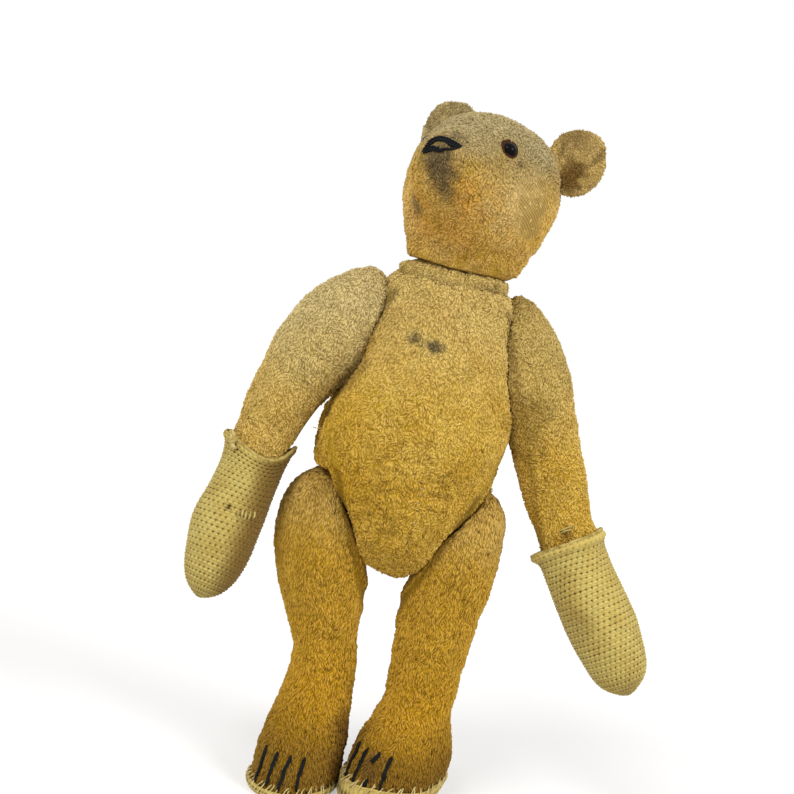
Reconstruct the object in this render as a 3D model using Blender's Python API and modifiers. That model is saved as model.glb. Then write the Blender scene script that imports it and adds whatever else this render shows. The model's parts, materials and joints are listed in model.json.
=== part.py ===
"""A threadbare jointed teddy bear, 300 mm tall, standing on its crocheted soles.

It is built as such a bear is made. Six plush covers are packed with wood wool. At the neck, the
shoulders and the hips two covers meet on a joint plane, and a cotter pin through a washer and a
cardboard disc in each of them holds them together. Ears, button eyes, stitched nose and claws,
crocheted mittens and crocheted soles are pieces of their own.

Metres, +Z up. The bear faces -Y, and its right side is at -X. Sizes below are in millimetres.
"""

import math

import bmesh
import bpy
from mathutils import Matrix, Vector
from mathutils.bvhtree import BVHTree

MM = 0.001
UP = Vector((0.0, 0.0, 1.0))
FORE_AFT = Vector((0.0, 1.0, 0.0))
AHEAD = -100.0  # where a ray towards the bear starts

# the frame's origin, under the middle of the bear's box, seen from the neck's axis
FRAME_X, FRAME_Y = 14.7, -5.0

# cloth
COVER = 1.6  # plush and its backing
CROCHET = 1.7
GAP = 0.3  # between pieces that touch
SLACK = 0.4  # between pieces that touch on a curve
WOOL_GAP = 0.6  # from a cover to its stuffing
SEAT = 0.2  # from a joint's plane to the cover on each side of it
SEGMENTS = 8  # vertices round a cage

# joint hardware, measured along the pin from the joint's plane
DISC_THICK = 2.0
WASHER_THICK = 0.8
WASHER_R = 5.6
WIRE_R = 0.55
LEG_X = 0.75  # half the distance between the pin's two legs
PIN_HOLE_R = 1.8
COVER_HOLE_R = 2.2
EYE_R = 2.2  # the loop at the pin's head
DISC_AT = SEAT + COVER + SLACK
WASHER_AT = DISC_AT + DISC_THICK + GAP
PIN_END_AT = WASHER_AT + WASHER_THICK + GAP + WIRE_R
LOOP_AT = PIN_END_AT + EYE_R
CAVITY_AT = LOOP_AT + EYE_R + WIRE_R + GAP
PIN_CURL = ((0.9, 1.3), (2.3, 2.0), (3.7, 1.5), (4.4, 0.3))  # out from the leg, along the pin

# joints: place, yaw and rise of the outward axis in degrees, radius of the discs
CHEST_TURN = 8.0
JOINTS = {
    "neck": ((1.0, 0.0, 225.5), 0.0, 90.0, 11.5),
    "right_shoulder": ((-28.9, -3.1, 196.2), 180.0 + CHEST_TURN, 21.0, 9.0),
    "left_shoulder": ((28.8, 4.0, 196.2), CHEST_TURN, 21.0, 9.0),
    "right_hip": ((-21.0, 0.0, 113.5), 180.0, -22.0, 11.5),
    "left_hip": ((21.0, 0.0, 113.5), 0.0, -22.0, 11.5),
}
# heights between which a joint presses the covers flat: on the body, on the limb
PRESSED = {
    "neck": ((0.0, 300.0), (0.0, 300.0)),
    "shoulder": ((0.0, 219.5), (150.0, 300.0)),
    "hip": ((0.0, 137.0), (0.0, 300.0)),
}

# sections: x, y, z of the middle, half width, half depth, turn in degrees
BODY_ENDS = ((1.0, 1.0, 234.0), (0.0, 1.0, 87.0))
BODY = (
    (1.0, 1.0, 223.5, 22.5, 21.5, 8.0),
    (1.0, 2.0, 214.0, 27.0, 26.5, 8.0),
    (0.5, 3.0, 200.0, 34.0, 32.5, 8.0),
    (0.0, 2.0, 182.0, 38.5, 36.0, 6.0),
    (-3.0, 0.0, 162.0, 42.0, 38.0, 4.0),
    (-4.0, -1.0, 146.0, 42.0, 38.0, 2.0),
    (-2.0, 0.0, 120.0, 32.5, 31.5, 0.0),
    (0.0, 1.0, 101.5, 23.5, 24.0, 0.0),
)
RIGHT_LEG_ENDS = ((-35.5, 0.0, 134.5), (-21.3, -11.7, -12.0))
RIGHT_LEG = (
    (-34.5, 0.0, 128.0, 13.5, 16.5, 0.0),
    (-32.0, -1.0, 114.0, 18.5, 22.0, 0.0),
    (-28.5, -1.0, 97.0, 21.0, 22.0, 0.0),
    (-25.5, 0.0, 78.0, 17.5, 18.5, 0.0),
    (-20.0, 1.0, 57.0, 13.0, 15.5, -5.0),
    (-19.0, 1.0, 39.0, 13.5, 16.0, -10.0),
    (-20.0, -8.0, 20.0, 16.5, 24.5, -15.0),
    (-21.3, -11.7, 3.0, 16.8, 27.4, -15.0),
    (-21.3, -11.7, -6.0, 16.8, 27.4, -15.0),
)
LEFT_LEG_ENDS = ((33.0, 0.0, 138.0), (20.3, -7.4, -12.0))
LEFT_LEG = (
    (31.0, 0.0, 131.5, 11.5, 15.5, 0.0),
    (28.0, 0.0, 116.0, 16.5, 22.0, 0.0),
    (25.5, 0.0, 97.0, 18.0, 21.0, 0.0),
    (24.0, 0.0, 78.0, 16.5, 18.0, 0.0),
    (24.0, 0.0, 57.0, 14.0, 15.5, -8.0),
    (25.0, 2.5, 40.0, 14.5, 16.0, -16.0),
    (21.5, -7.0, 23.0, 18.0, 26.5, -32.0),
    (20.3, -7.4, 3.0, 18.0, 28.0, -32.0),
    (20.3, -7.4, -6.0, 18.0, 28.0, -32.0),
)
SOLE_THICK = 2.0
GROUND_WIDE = 300.0

# arms: x, y, z of the middle, half thickness, half depth. The sections lie across the arm
RIGHT_ARM_ENDS = ((-31.0, -4.0, 218.0), (-74.0, -26.0, 72.5))
RIGHT_ARM = (
    (-33.0, -4.0, 209.5, 14.0, 16.5),
    (-41.0, -4.0, 195.0, 18.0, 18.5),
    (-51.0, -4.5, 177.5, 16.5, 17.5),
    (-58.5, -7.0, 158.0, 14.5, 15.0),
    (-63.0, -12.0, 138.5, 12.0, 12.5),
    (-66.3, -18.0, 115.0, 11.0, 12.0),
    (-69.5, -23.0, 92.5, 11.3, 12.8),
    (-72.5, -25.5, 79.5, 8.0, 9.0),
)
LEFT_ARM_ENDS = ((29.5, 4.0, 218.5), (108.5, -14.0, 66.5))
LEFT_ARM = (
    (31.5, 3.5, 209.0, 12.5, 16.0),
    (37.0, 4.0, 195.0, 16.5, 18.5),
    (45.5, 4.0, 177.0, 16.0, 17.5),
    (57.0, 2.5, 151.0, 13.5, 14.5),
    (73.2, -3.0, 119.5, 12.0, 13.0),
    (82.5, -7.0, 104.5, 13.0, 13.5),
    (94.0, -11.0, 89.0, 13.5, 14.5),
    (103.0, -13.5, 75.0, 9.5, 10.5),
)
CUFF = 4  # the arm's section at which its mitten's cuff stands

# head: distance along its forward axis, lift, half width, half height
HEAD_MIDDLE = (5.5, 2.0, 258.0)
HEAD_TURN, HEAD_PITCH, HEAD_ROLL = -25.0, 5.0, 4.0
HEAD_ENDS = ((-37.0, 0.0), (53.0, 1.0))
HEAD = (
    (-29.0, -0.5, 20.0, 21.0),
    (-19.0, -2.0, 31.0, 35.5),
    (-3.0, -2.5, 33.0, 37.0),
    (11.0, -3.5, 32.0, 36.0),
    (22.0, -3.5, 26.5, 30.5),
    (32.0, -1.0, 19.0, 20.5),
    (42.0, 0.5, 14.5, 14.5),
    (49.5, 1.0, 10.0, 9.5),
)
EAR_AT = (25.5, -14.0, 19.3)  # out, forward and up from the head's middle
EAR_R, EAR_HIGH, EAR_THICK = 12.4, 14.0, 2.6  # half sizes
EAR_OUT, EAR_UP = 5.0, 4.0  # from its root to its middle
EAR_FACES = 8.0  # degrees outward
BUTTON_AT = (16.4, 15.8)  # out and up
BUTTON_R, BUTTON_DOME = 3.2, 2.3
SHANK_R, SHANK_LONG = 0.8, 5.5
NOSE_AT = (-0.7, 6.3)  # across and up
NOSE_HALF, NOSE_HIGH = 6.1, 5.0
NOSE_THREAD_R = 0.7
CLAW_R = 0.6
CLAW_SPACING = 5.6
CLAWS = {"right": (17.0, 5.0), "left": (21.0, 9.0)}  # height of a claw's ends
LOST_CLAW = 2  # this claw of the left foot is worn through in the middle
LOST_CLAW_ENDS = ((0.0, -3.5), (3.0, 0.0))  # its upper end down from the top, its lower end

# colour, roughness, metallic
MATERIALS = {
    "worn_plush": ((0.53, 0.34, 0.12), 0.95, 0.0),
    "pale_plush": ((0.55, 0.38, 0.17), 0.95, 0.0),
    "wood_wool": ((0.66, 0.50, 0.28), 0.9, 0.0),
    "crochet_cotton": ((0.72, 0.58, 0.30), 0.9, 0.0),
    "black_thread": ((0.02, 0.02, 0.025), 0.7, 0.0),
    "black_button": ((0.008, 0.007, 0.007), 0.15, 0.0),
    "cardboard": ((0.36, 0.27, 0.17), 0.85, 0.0),
    "steel": ((0.42, 0.41, 0.40), 0.4, 1.0),
}

for old in list(bpy.data.objects):
    bpy.data.objects.remove(old)

parts = bpy.data.collections.new("teddy_bear")
cutters = bpy.data.collections.new("cutters")
for collection in (parts, cutters):
    bpy.context.scene.collection.children.link(collection)


def point(x, y, z):
    """A place on the bear, in millimetres from the neck's axis, as the frame's metres."""
    return Vector((x - FRAME_X, y - FRAME_Y, z)) * MM


def material(name):
    """The Principled material of that name, made once."""
    found = bpy.data.materials.get(name)
    if found:
        return found
    colour, roughness, metallic = MATERIALS[name]
    made = bpy.data.materials.new(name)
    made.use_nodes = True
    shader = made.node_tree.nodes["Principled BSDF"]
    shader.inputs["Base Color"].default_value = (*colour, 1.0)
    shader.inputs["Roughness"].default_value = roughness
    shader.inputs["Metallic"].default_value = metallic
    return made


def add_piece(name, data, finish, parent, place=None):
    """One named part under its joint's empty. Its data is in the frame unless a place is given."""
    piece = bpy.data.objects.new(name, data)
    parts.objects.link(piece)
    data.materials.clear()
    data.materials.append(material(finish))
    piece.parent = parent
    piece.matrix_parent_inverse = Matrix.Translation(-parent.location)
    if place is None:
        data.transform(Matrix.Translation(-parent.location))
        place = Matrix.Translation(parent.location)
    piece.matrix_basis = place
    if piece.type == "MESH":
        data.shade_smooth()
    return piece


def add_cutter(name, data, place):
    """A solid that only cuts others."""
    cutter = bpy.data.objects.new(name, data)
    cutters.objects.link(cutter)
    cutter.matrix_basis = place
    cutter.hide_render = True
    cutter.display_type = "WIRE"
    return cutter


def cut(piece, cutter):
    """Take the cutter's shape out of the piece."""
    boolean = piece.modifiers.new(cutter.name, "BOOLEAN")
    boolean.operation = "DIFFERENCE"
    boolean.solver = "EXACT"
    boolean.object = cutter


def profile_mesh(name, outline, closed):
    """A turned piece's outline, given as radius and height, for a Screw modifier."""
    mesh = bpy.data.meshes.new(name)
    verts = [(radius * MM, 0.0, height * MM) for radius, height in outline]
    edges = [(i, i + 1) for i in range(len(verts) - 1)]
    if closed:
        edges.append((len(verts) - 1, 0))
    mesh.from_pydata(verts, edges, [])
    return mesh


def turn(piece, steps):
    """Turn an outline round its own Z axis."""
    screw = piece.modifiers.new("Turned", "SCREW")
    screw.steps = steps
    screw.render_steps = steps
    screw.use_merge_vertices = True
    screw.merge_threshold = 0.00001


# ---- soft forms --------------------------------------------------------------------------------


def level_rings(rows):
    """Sections that lie level, each turned about the vertical."""
    rings = []
    for x, y, z, wide, deep, turned in rows:
        spin = Matrix.Rotation(math.radians(turned), 3, "Z")
        across = spin @ Vector((wide * MM, 0.0, 0.0))
        along = spin @ Vector((0.0, deep * MM, 0.0))
        rings.append((point(x, y, z), across, along))
    return rings


def crosswise_rings(rows):
    """Sections that lie across the line through their middles."""
    middles = [point(*row[:3]) for row in rows]
    rings = []
    for i, row in enumerate(rows):
        before, after = middles[max(i - 1, 0)], middles[min(i + 1, len(rows) - 1)]
        line = (after - before).normalized()
        along = (FORE_AFT - line * FORE_AFT.dot(line)).normalized()
        rings.append((middles[i], line.cross(along) * row[3] * MM, along * row[4] * MM))
    return rings


def head_place():
    """From the head's own axes (forward is -Y) to the frame."""
    turned = Matrix.Rotation(math.radians(HEAD_TURN), 4, "Z")
    rolled = Matrix.Rotation(math.radians(HEAD_ROLL), 4, "Y")
    pitched = Matrix.Rotation(math.radians(-HEAD_PITCH), 4, "X")
    return Matrix.Translation(point(*HEAD_MIDDLE)) @ turned @ rolled @ pitched


def head_rings():
    """Sections across the head's forward axis, from its back to the nose."""
    place = head_place()
    spin = place.to_3x3()
    rings = []
    for forward, lift, wide, high in HEAD:
        middle = place @ Vector((0.0, -forward * MM, lift * MM))
        across = spin @ Vector((wide * MM, 0.0, 0.0))
        rings.append((middle, across, spin @ Vector((0.0, 0.0, high * MM))))
    return rings


def soft_form(rings, ends, planes):
    """A cage of rings, smoothed by subdivision and pressed flat where it crosses a plane.

    Each plane is a place on it, its outward normal and the two heights between which it presses.
    """
    bm = bmesh.new()
    steps = len(rings) + 1
    bmesh.ops.create_uvsphere(bm, u_segments=SEGMENTS, v_segments=steps, radius=1.0)
    swell = 1.0 / math.cos(math.pi / SEGMENTS)  # subdivision draws the rings in by this much
    for vert in bm.verts:
        polar = math.acos(max(-1.0, min(1.0, vert.co.z)))
        index = round(polar / math.pi * steps)
        if index in (0, steps):
            vert.co = ends[0] if index == 0 else ends[1]
            continue
        angle = math.atan2(vert.co.y, vert.co.x)
        middle, across, along = rings[index - 1]
        vert.co = middle + swell * (across * math.cos(angle) + along * math.sin(angle))
    if bm.calc_volume(signed=True) < 0.0:
        bmesh.ops.reverse_faces(bm, faces=bm.faces)
    cage_mesh = bpy.data.meshes.new("cage")
    bm.to_mesh(cage_mesh)
    bm.free()
    cage = bpy.data.objects.new("cage", cage_mesh)
    cutters.objects.link(cage)
    smooth = cage.modifiers.new("Smooth", "SUBSURF")
    smooth.levels = 1
    smooth.render_levels = 1
    seen = cage.evaluated_get(bpy.context.evaluated_depsgraph_get())
    form = bpy.data.meshes.new_from_object(seen)
    bpy.data.objects.remove(cage)
    for place, outward, (low, high) in planes:
        for vert in form.vertices:
            over = (vert.co - place).dot(outward)
            if over > 0.0 and low * MM < vert.co.z < high * MM:
                vert.co -= over * outward
    return form


def drop_faces_below(mesh, height):
    """Open a form underneath."""
    bm = bmesh.new()
    bm.from_mesh(mesh)
    low = [face for face in bm.faces if all(v.co.z < height for v in face.verts)]
    bmesh.ops.delete(bm, geom=low, context="FACES")
    bm.to_mesh(mesh)
    bm.free()


def add_cover(name, form, parent, holes, sole_z=None, finish="worn_plush"):
    """The cloth of a form: a shell with a hole for each pin, open underneath at a sole."""
    mesh = form.copy()
    if sole_z is not None:
        drop_faces_below(mesh, sole_z + 0.1 * MM)
    cloth = add_piece(name, mesh, finish, parent)
    shell = cloth.modifiers.new("Cloth", "SOLIDIFY")
    shell.thickness = COVER * MM
    shell.offset = -1.0
    for hole in holes:
        cut(cloth, hole)
    return cloth


def add_stuffing(name, form, parent, cavities):
    """What fills a cover, with room for the joints' hardware."""
    wool = add_piece(name, form.copy(), "wood_wool", parent)
    inset = wool.modifiers.new("Inside the cloth", "DISPLACE")
    inset.mid_level = 0.0
    inset.strength = -(COVER + WOOL_GAP) * MM
    for cavity in cavities:
        cut(wool, cavity)
    return wool


# ---- joints ------------------------------------------------------------------------------------


def joint_axis(name):
    """The unit vector along a joint's pin, away from the body."""
    _, yaw, rise, _ = JOINTS[name]
    yaw, rise = math.radians(yaw), math.radians(rise)
    level = math.cos(rise)
    return Vector((level * math.cos(yaw), level * math.sin(yaw), math.sin(rise)))


def joint_place(name):
    """A joint's place and direction: Z along the pin, X up or forward."""
    axis = joint_axis(name)
    spin = axis.to_track_quat("Z", "Y").to_matrix().to_4x4()
    return Matrix.Translation(point(*JOINTS[name][0])) @ spin


def limb_side(name):
    """The plane that the limb's cover stays beyond."""
    axis = joint_axis(name)
    pressed = PRESSED[name.split("_")[-1]][1]
    return point(*JOINTS[name][0]) + axis * SEAT * MM, -axis, pressed


def body_side(name):
    """The plane that the body's cover stays within."""
    axis = joint_axis(name)
    pressed = PRESSED[name.split("_")[-1]][0]
    return point(*JOINTS[name][0]) - axis * SEAT * MM, axis, pressed


def pin_hole(name):
    """The cutter for the hole in both covers."""
    mesh = bpy.data.meshes.new(name + "_hole")
    bm = bmesh.new()
    depth = 2.0 * WASHER_AT * MM
    radius = COVER_HOLE_R * MM
    bmesh.ops.create_cone(
        bm, segments=8, radius1=radius, radius2=radius, depth=depth, cap_ends=True, cap_tris=False
    )
    bm.to_mesh(mesh)
    bm.free()
    return add_cutter(name + "_hole", mesh, joint_place(name))


def hardware_room(name):
    """The cutter for the room that the discs, the washers and the pin's ends take in the wool."""
    disc_r = JOINTS[name][3] + WOOL_GAP
    end_r = WASHER_R + WOOL_GAP
    half = ((0.0, CAVITY_AT), (end_r, CAVITY_AT), (end_r, WASHER_AT), (disc_r, WASHER_AT))
    outline = half + tuple((radius, -height) for radius, height in reversed(half))
    mesh = profile_mesh(name + "_room", outline, closed=False)
    room = add_cutter(name + "_room", mesh, joint_place(name))
    turn(room, 12)
    return room


def add_ring(name, finish, parent, joint, radius, start, thick, steps):
    """A flat ring round a joint's pin, from one height along it."""
    low, high = min(start, start + thick), max(start, start + thick)
    hole = PIN_HOLE_R
    outline = ((radius, high), (radius, low), (hole, low), (hole, high))
    ring = add_piece(name, profile_mesh(name, outline, True), finish, parent, joint_place(joint))
    turn(ring, steps)
    return ring


def add_pin(joint, parent):
    """A cotter pin: a loop on the limb's side, two legs, and their ends curled out in the body."""
    side = [(LEG_X + out, -PIN_END_AT - along) for out, along in reversed(PIN_CURL)]
    side.append((LEG_X, -PIN_END_AT))
    open_angle = math.asin(LEG_X / EYE_R)
    turns = 8
    for i in range(turns + 1):
        angle = open_angle + (2.0 * math.pi - 2.0 * open_angle) * i / turns
        side.append((EYE_R * math.sin(angle), LOOP_AT - EYE_R * math.cos(angle)))
    side.append((-LEG_X, -PIN_END_AT))
    side += [(-LEG_X - out, -PIN_END_AT - along) for out, along in PIN_CURL]
    path = [Vector((x * MM, 0.0, z * MM)) for x, z in side]
    wire = wire_curve(joint + "_pin", path, WIRE_R, bevel_resolution=1)
    return add_piece(joint + "_pin", wire, "steel", parent, joint_place(joint))


def wire_curve(name, path, radius, bevel_resolution):
    """A round wire or thread along a path, with filled ends."""
    curve = bpy.data.curves.new(name, "CURVE")
    curve.dimensions = "3D"
    curve.bevel_depth = radius * MM
    curve.bevel_resolution = bevel_resolution
    curve.use_fill_caps = True
    spline = curve.splines.new("POLY")
    spline.points.add(len(path) - 1)
    for knot, place in zip(spline.points, path):
        knot.co = (*place, 1.0)
    return curve


def add_hardware(joint, body, limb):
    """Two discs, two washers and the pin of one joint."""
    radius = JOINTS[joint][3]
    for side, parent, sign in (("body", body, -1.0), ("limb", limb, 1.0)):
        disc, washer = f"{joint}_{side}_disc", f"{joint}_{side}_washer"
        add_ring(
            disc, "cardboard", parent, joint, radius, sign * DISC_AT, sign * DISC_THICK, 14
        )
        add_ring(
            washer, "steel", parent, joint, WASHER_R, sign * WASHER_AT, sign * WASHER_THICK, 10
        )
    add_pin(joint, body)


# ---- trim --------------------------------------------------------------------------------------


def surface(form):
    """A tree for finding places on a form."""
    bm = bmesh.new()
    bm.from_mesh(form)
    tree = BVHTree.FromBMesh(bm)
    bm.free()
    return tree


def place_on(tree, start, direction, lift):
    """Where a ray meets a form, lifted off it, and the form's normal there."""
    hit, normal, _, _ = tree.ray_cast(start, direction)
    return hit + normal * lift * MM, normal


def add_ear(name, side, form, parent):
    """A flat pad whose root follows the head."""
    out, forward, up = EAR_AT
    place = head_place()
    faces = Matrix.Rotation(math.radians(side * EAR_FACES), 4, "Z")
    middle = Vector((side * (out + EAR_OUT), -forward, up + EAR_UP)) * MM
    bm = bmesh.new()
    bmesh.ops.create_uvsphere(bm, u_segments=12, v_segments=6, radius=1.0)
    sizes = Vector((EAR_R, EAR_THICK, EAR_HIGH)) * MM
    bmesh.ops.rotate(bm, verts=bm.verts, matrix=Matrix.Rotation(math.pi / 2.0, 3, "X"))
    bmesh.ops.scale(bm, verts=bm.verts, vec=sizes)
    mesh = bpy.data.meshes.new(name)
    bm.to_mesh(mesh)
    bm.free()
    mesh.transform(place @ Matrix.Translation(middle) @ faces)
    ear = add_piece(name, mesh, "pale_plush", parent)
    head_room = add_cutter(name + "_root", form.copy(), Matrix.Identity(4))
    swell = head_room.modifiers.new("Clear of the head", "DISPLACE")
    swell.mid_level = 0.0
    swell.strength = GAP * MM
    cut(ear, head_room)
    return ear


def button_place(side, tree):
    """Where a button eye sits: Z out of the head."""
    out, up = BUTTON_AT
    place = head_place()
    start = place @ (Vector((side * out, AHEAD, up)) * MM)
    direction = place.to_3x3() @ FORE_AFT
    hit, normal = place_on(tree, start, direction, SLACK)
    spin = normal.to_track_quat("Z", "Y").to_matrix().to_4x4()
    return Matrix.Translation(hit) @ spin


def add_button(name, place, parent):
    """A boot button: a dome on a shank."""
    dome = [(0.0, BUTTON_DOME)]
    for angle in (25.0, 50.0, 75.0):
        angle = math.radians(angle)
        dome.append((BUTTON_R * math.sin(angle), BUTTON_DOME * math.cos(angle)))
    under = [(BUTTON_R * 0.94, 0.0), (SHANK_R, 0.0), (SHANK_R, -SHANK_LONG), (0.0, -SHANK_LONG)]
    button = add_piece(name, profile_mesh(name, dome + under, False), "black_button", parent, place)
    turn(button, 10)
    return button


def shank_hole(name, place):
    """The cutter for the hole that a button's shank goes into."""
    mesh = bpy.data.meshes.new(name)
    bm = bmesh.new()
    radius, depth = (SHANK_R + SLACK) * MM, 2.0 * (SHANK_LONG + WOOL_GAP) * MM
    bmesh.ops.create_cone(
        bm, segments=6, radius1=radius, radius2=radius, depth=depth, cap_ends=True
    )
    bm.to_mesh(mesh)
    bm.free()
    return add_cutter(name, mesh, place)


def add_nose(tree, parent):
    """What is left of the stitched nose: one thick thread round its outline."""
    place = head_place()
    direction = place.to_3x3() @ FORE_AFT
    outline = []
    steps = 14
    for i in range(steps + 1):
        angle = math.radians(200.0) - math.radians(350.0) * i / steps
        across = NOSE_AT[0] + NOSE_HALF * math.cos(angle)
        up = NOSE_AT[1] + NOSE_HIGH * 0.5 * math.sin(angle)
        start = place @ (Vector((across, AHEAD, up)) * MM)
        outline.append(place_on(tree, start, direction, GAP + NOSE_THREAD_R)[0])
    thread = wire_curve("nose_stitching", outline, NOSE_THREAD_R, bevel_resolution=1)
    return add_piece("nose_stitching", thread, "black_thread", parent)


def add_claw(name, foot, tree, across, heights, parent):
    """One stitch down the toes."""
    x, y, _, _, _, turned = foot
    place = Matrix.Translation(point(x, y, 0.0)) @ Matrix.Rotation(math.radians(turned), 4, "Z")
    steps = 4
    top, bottom = heights
    path = []
    for i in range(steps + 1):
        height = top + (bottom - top) * i / steps
        start = place @ (Vector((across, AHEAD, height)) * MM)
        path.append(place_on(tree, start, place.to_3x3() @ FORE_AFT, SLACK + CLAW_R)[0])
    thread = wire_curve(name, path, CLAW_R, bevel_resolution=1)
    return add_piece(name, thread, "black_thread", parent)


def add_claws(side, foot, tree, parent):
    """Four stitched claws. One of the left foot's is worn through, and only its ends are left."""
    top, bottom = CLAWS[side]
    for i in range(4):
        across = (i - 1.5) * CLAW_SPACING
        name = f"{side}_claw_{i + 1}"
        if side == "left" and i == LOST_CLAW:
            for end, near, (high, low) in zip(("upper", "lower"), (top, bottom), LOST_CLAW_ENDS):
                heights = (near + high, near + low)
                add_claw(f"{name}_{end}", foot, tree, across, heights, parent)
        else:
            add_claw(name, foot, tree, across, (top, bottom), parent)


def ground_room():
    """The cutter that trims the legs' covers level, just above the soles."""
    mesh = bpy.data.meshes.new("ground")
    bm = bmesh.new()
    bmesh.ops.create_cube(bm, size=1.0)
    sizes = Vector((GROUND_WIDE, GROUND_WIDE, 2.0 * (SOLE_THICK + GAP))) * MM
    bmesh.ops.scale(bm, verts=bm.verts, vec=sizes)
    bm.to_mesh(mesh)
    bm.free()
    return add_cutter("ground", mesh, Matrix.Identity(4))


def add_sole(name, foot, parent):
    """The flat crocheted sole, its rim at the leg's lower edge."""
    x, y, _, wide, deep, turned = foot
    bm = bmesh.new()
    bmesh.ops.create_cone(
        bm, segments=20, radius1=1.0, radius2=1.0, depth=SOLE_THICK * MM, cap_ends=True
    )
    bmesh.ops.scale(bm, verts=bm.verts, vec=(wide * MM, deep * MM, 1.0))
    mesh = bpy.data.meshes.new(name)
    bm.to_mesh(mesh)
    bm.free()
    spin = Matrix.Rotation(math.radians(turned), 4, "Z")
    mesh.transform(Matrix.Translation(point(x, y, SOLE_THICK / 2.0)) @ spin)
    return add_piece(name, mesh, "crochet_cotton", parent)


def add_mitten(name, form, rows, parent):
    """A crocheted mitten: a shell over the paw, open at its cuff."""
    middles = [point(*row[:3]) for row in rows]
    up_arm = (middles[CUFF - 1] - middles[CUFF + 1]).normalized()
    bm = bmesh.new()
    bm.from_mesh(form)
    bm.normal_update()
    for vert in bm.verts:
        vert.co += vert.normal * (SLACK + CROCHET) * MM
    above = [f for f in bm.faces if (f.calc_center_median() - middles[CUFF]).dot(up_arm) > 0.0]
    bmesh.ops.delete(bm, geom=above, context="FACES")
    mesh = bpy.data.meshes.new(name)
    bm.to_mesh(mesh)
    bm.free()
    mitten = add_piece(name, mesh, "crochet_cotton", parent)
    shell = mitten.modifiers.new("Crochet", "SOLIDIFY")
    shell.thickness = CROCHET * MM
    shell.offset = -1.0
    return mitten


# ---- the bear ----------------------------------------------------------------------------------


def add_joint_empty(name, place, parent):
    """The empty that a moving part of the bear hangs on."""
    empty = bpy.data.objects.new(name, None)
    parts.objects.link(empty)
    empty.location = place
    empty.parent = parent
    return empty


def build():
    """All pieces of the bear."""
    bear = add_joint_empty("bear", Vector((0.0, 0.0, 0.0)), None)
    empties = {j: add_joint_empty(j + "_joint", point(*JOINTS[j][0]), bear) for j in JOINTS}
    holes = {joint: pin_hole(joint) for joint in JOINTS}
    rooms = {joint: hardware_room(joint) for joint in JOINTS}
    bpy.context.view_layer.update()

    ends = [point(*end) for end in BODY_ENDS]
    form = soft_form(level_rings(BODY), ends, [body_side(joint) for joint in JOINTS])
    add_cover("body_cover", form, bear, holes.values())
    add_stuffing("body_stuffing", form, bear, rooms.values())

    place = head_place()
    ends = [place @ Vector((0.0, -forward * MM, lift * MM)) for forward, lift in HEAD_ENDS]
    form = soft_form(head_rings(), ends, [limb_side("neck")])
    tree = surface(form)
    buttons = {side: button_place(sign, tree) for side, sign in (("right", -1.0), ("left", 1.0))}
    shanks = [shank_hole(side + "_shank", spot) for side, spot in buttons.items()]
    neck = empties["neck"]
    add_cover("head_cover", form, neck, [holes["neck"], *shanks], finish="pale_plush")
    add_stuffing("head_stuffing", form, neck, [rooms["neck"], *shanks])
    for side, sign in (("right", -1.0), ("left", 1.0)):
        add_ear(side + "_ear", sign, form, neck)
        add_button(side + "_eye", buttons[side], neck)
    add_nose(tree, neck)

    for side, rows, ends in (
        ("right", RIGHT_ARM, RIGHT_ARM_ENDS),
        ("left", LEFT_ARM, LEFT_ARM_ENDS),
    ):
        joint = side + "_shoulder"
        tips = [point(*end) for end in ends]
        form = soft_form(crosswise_rings(rows), tips, [limb_side(joint)])
        add_cover(side + "_arm_cover", form, empties[joint], [holes[joint]])
        add_stuffing(side + "_arm_stuffing", form, empties[joint], [rooms[joint]])
        add_mitten(side + "_mitten", form, rows, empties[joint])

    sole_z = (SOLE_THICK + GAP) * MM
    under = ground_room()
    for side, rows, ends in (
        ("right", RIGHT_LEG, RIGHT_LEG_ENDS),
        ("left", LEFT_LEG, LEFT_LEG_ENDS),
    ):
        joint = side + "_hip"
        tips = [point(*end) for end in ends]
        ground = (Vector((0.0, 0.0, sole_z)), -UP, (-100.0, 100.0))
        form = soft_form(level_rings(rows), tips, [limb_side(joint), ground])
        add_cover(side + "_leg_cover", form, empties[joint], [holes[joint], under], sole_z)
        add_stuffing(side + "_leg_stuffing", form, empties[joint], [rooms[joint]])
        add_claws(side, rows[-1], surface(form), empties[joint])
        add_sole(side + "_sole", rows[-1], empties[joint])

    for joint, empty in empties.items():
        add_hardware(joint, bear, empty)


build()
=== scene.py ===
"""The threadbare jointed teddy bear: plush covers, crocheted mends and threads round its frame.

The soft forms are lofted through the same sections as the frame's covers, filled by a short cloth
simulation, pressed flat where two covers meet at a joint, and then given their folds and pile.
Lengths inside the functions are in millimetres from the axis of the neck unless they say frame.
"""

import json
import math
from itertools import product

import bmesh
import bpy
import numpy as np
from bpy.props import FloatProperty, FloatVectorProperty, PointerProperty
from mathutils import Matrix, Vector
from mathutils.bvhtree import BVHTree

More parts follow.
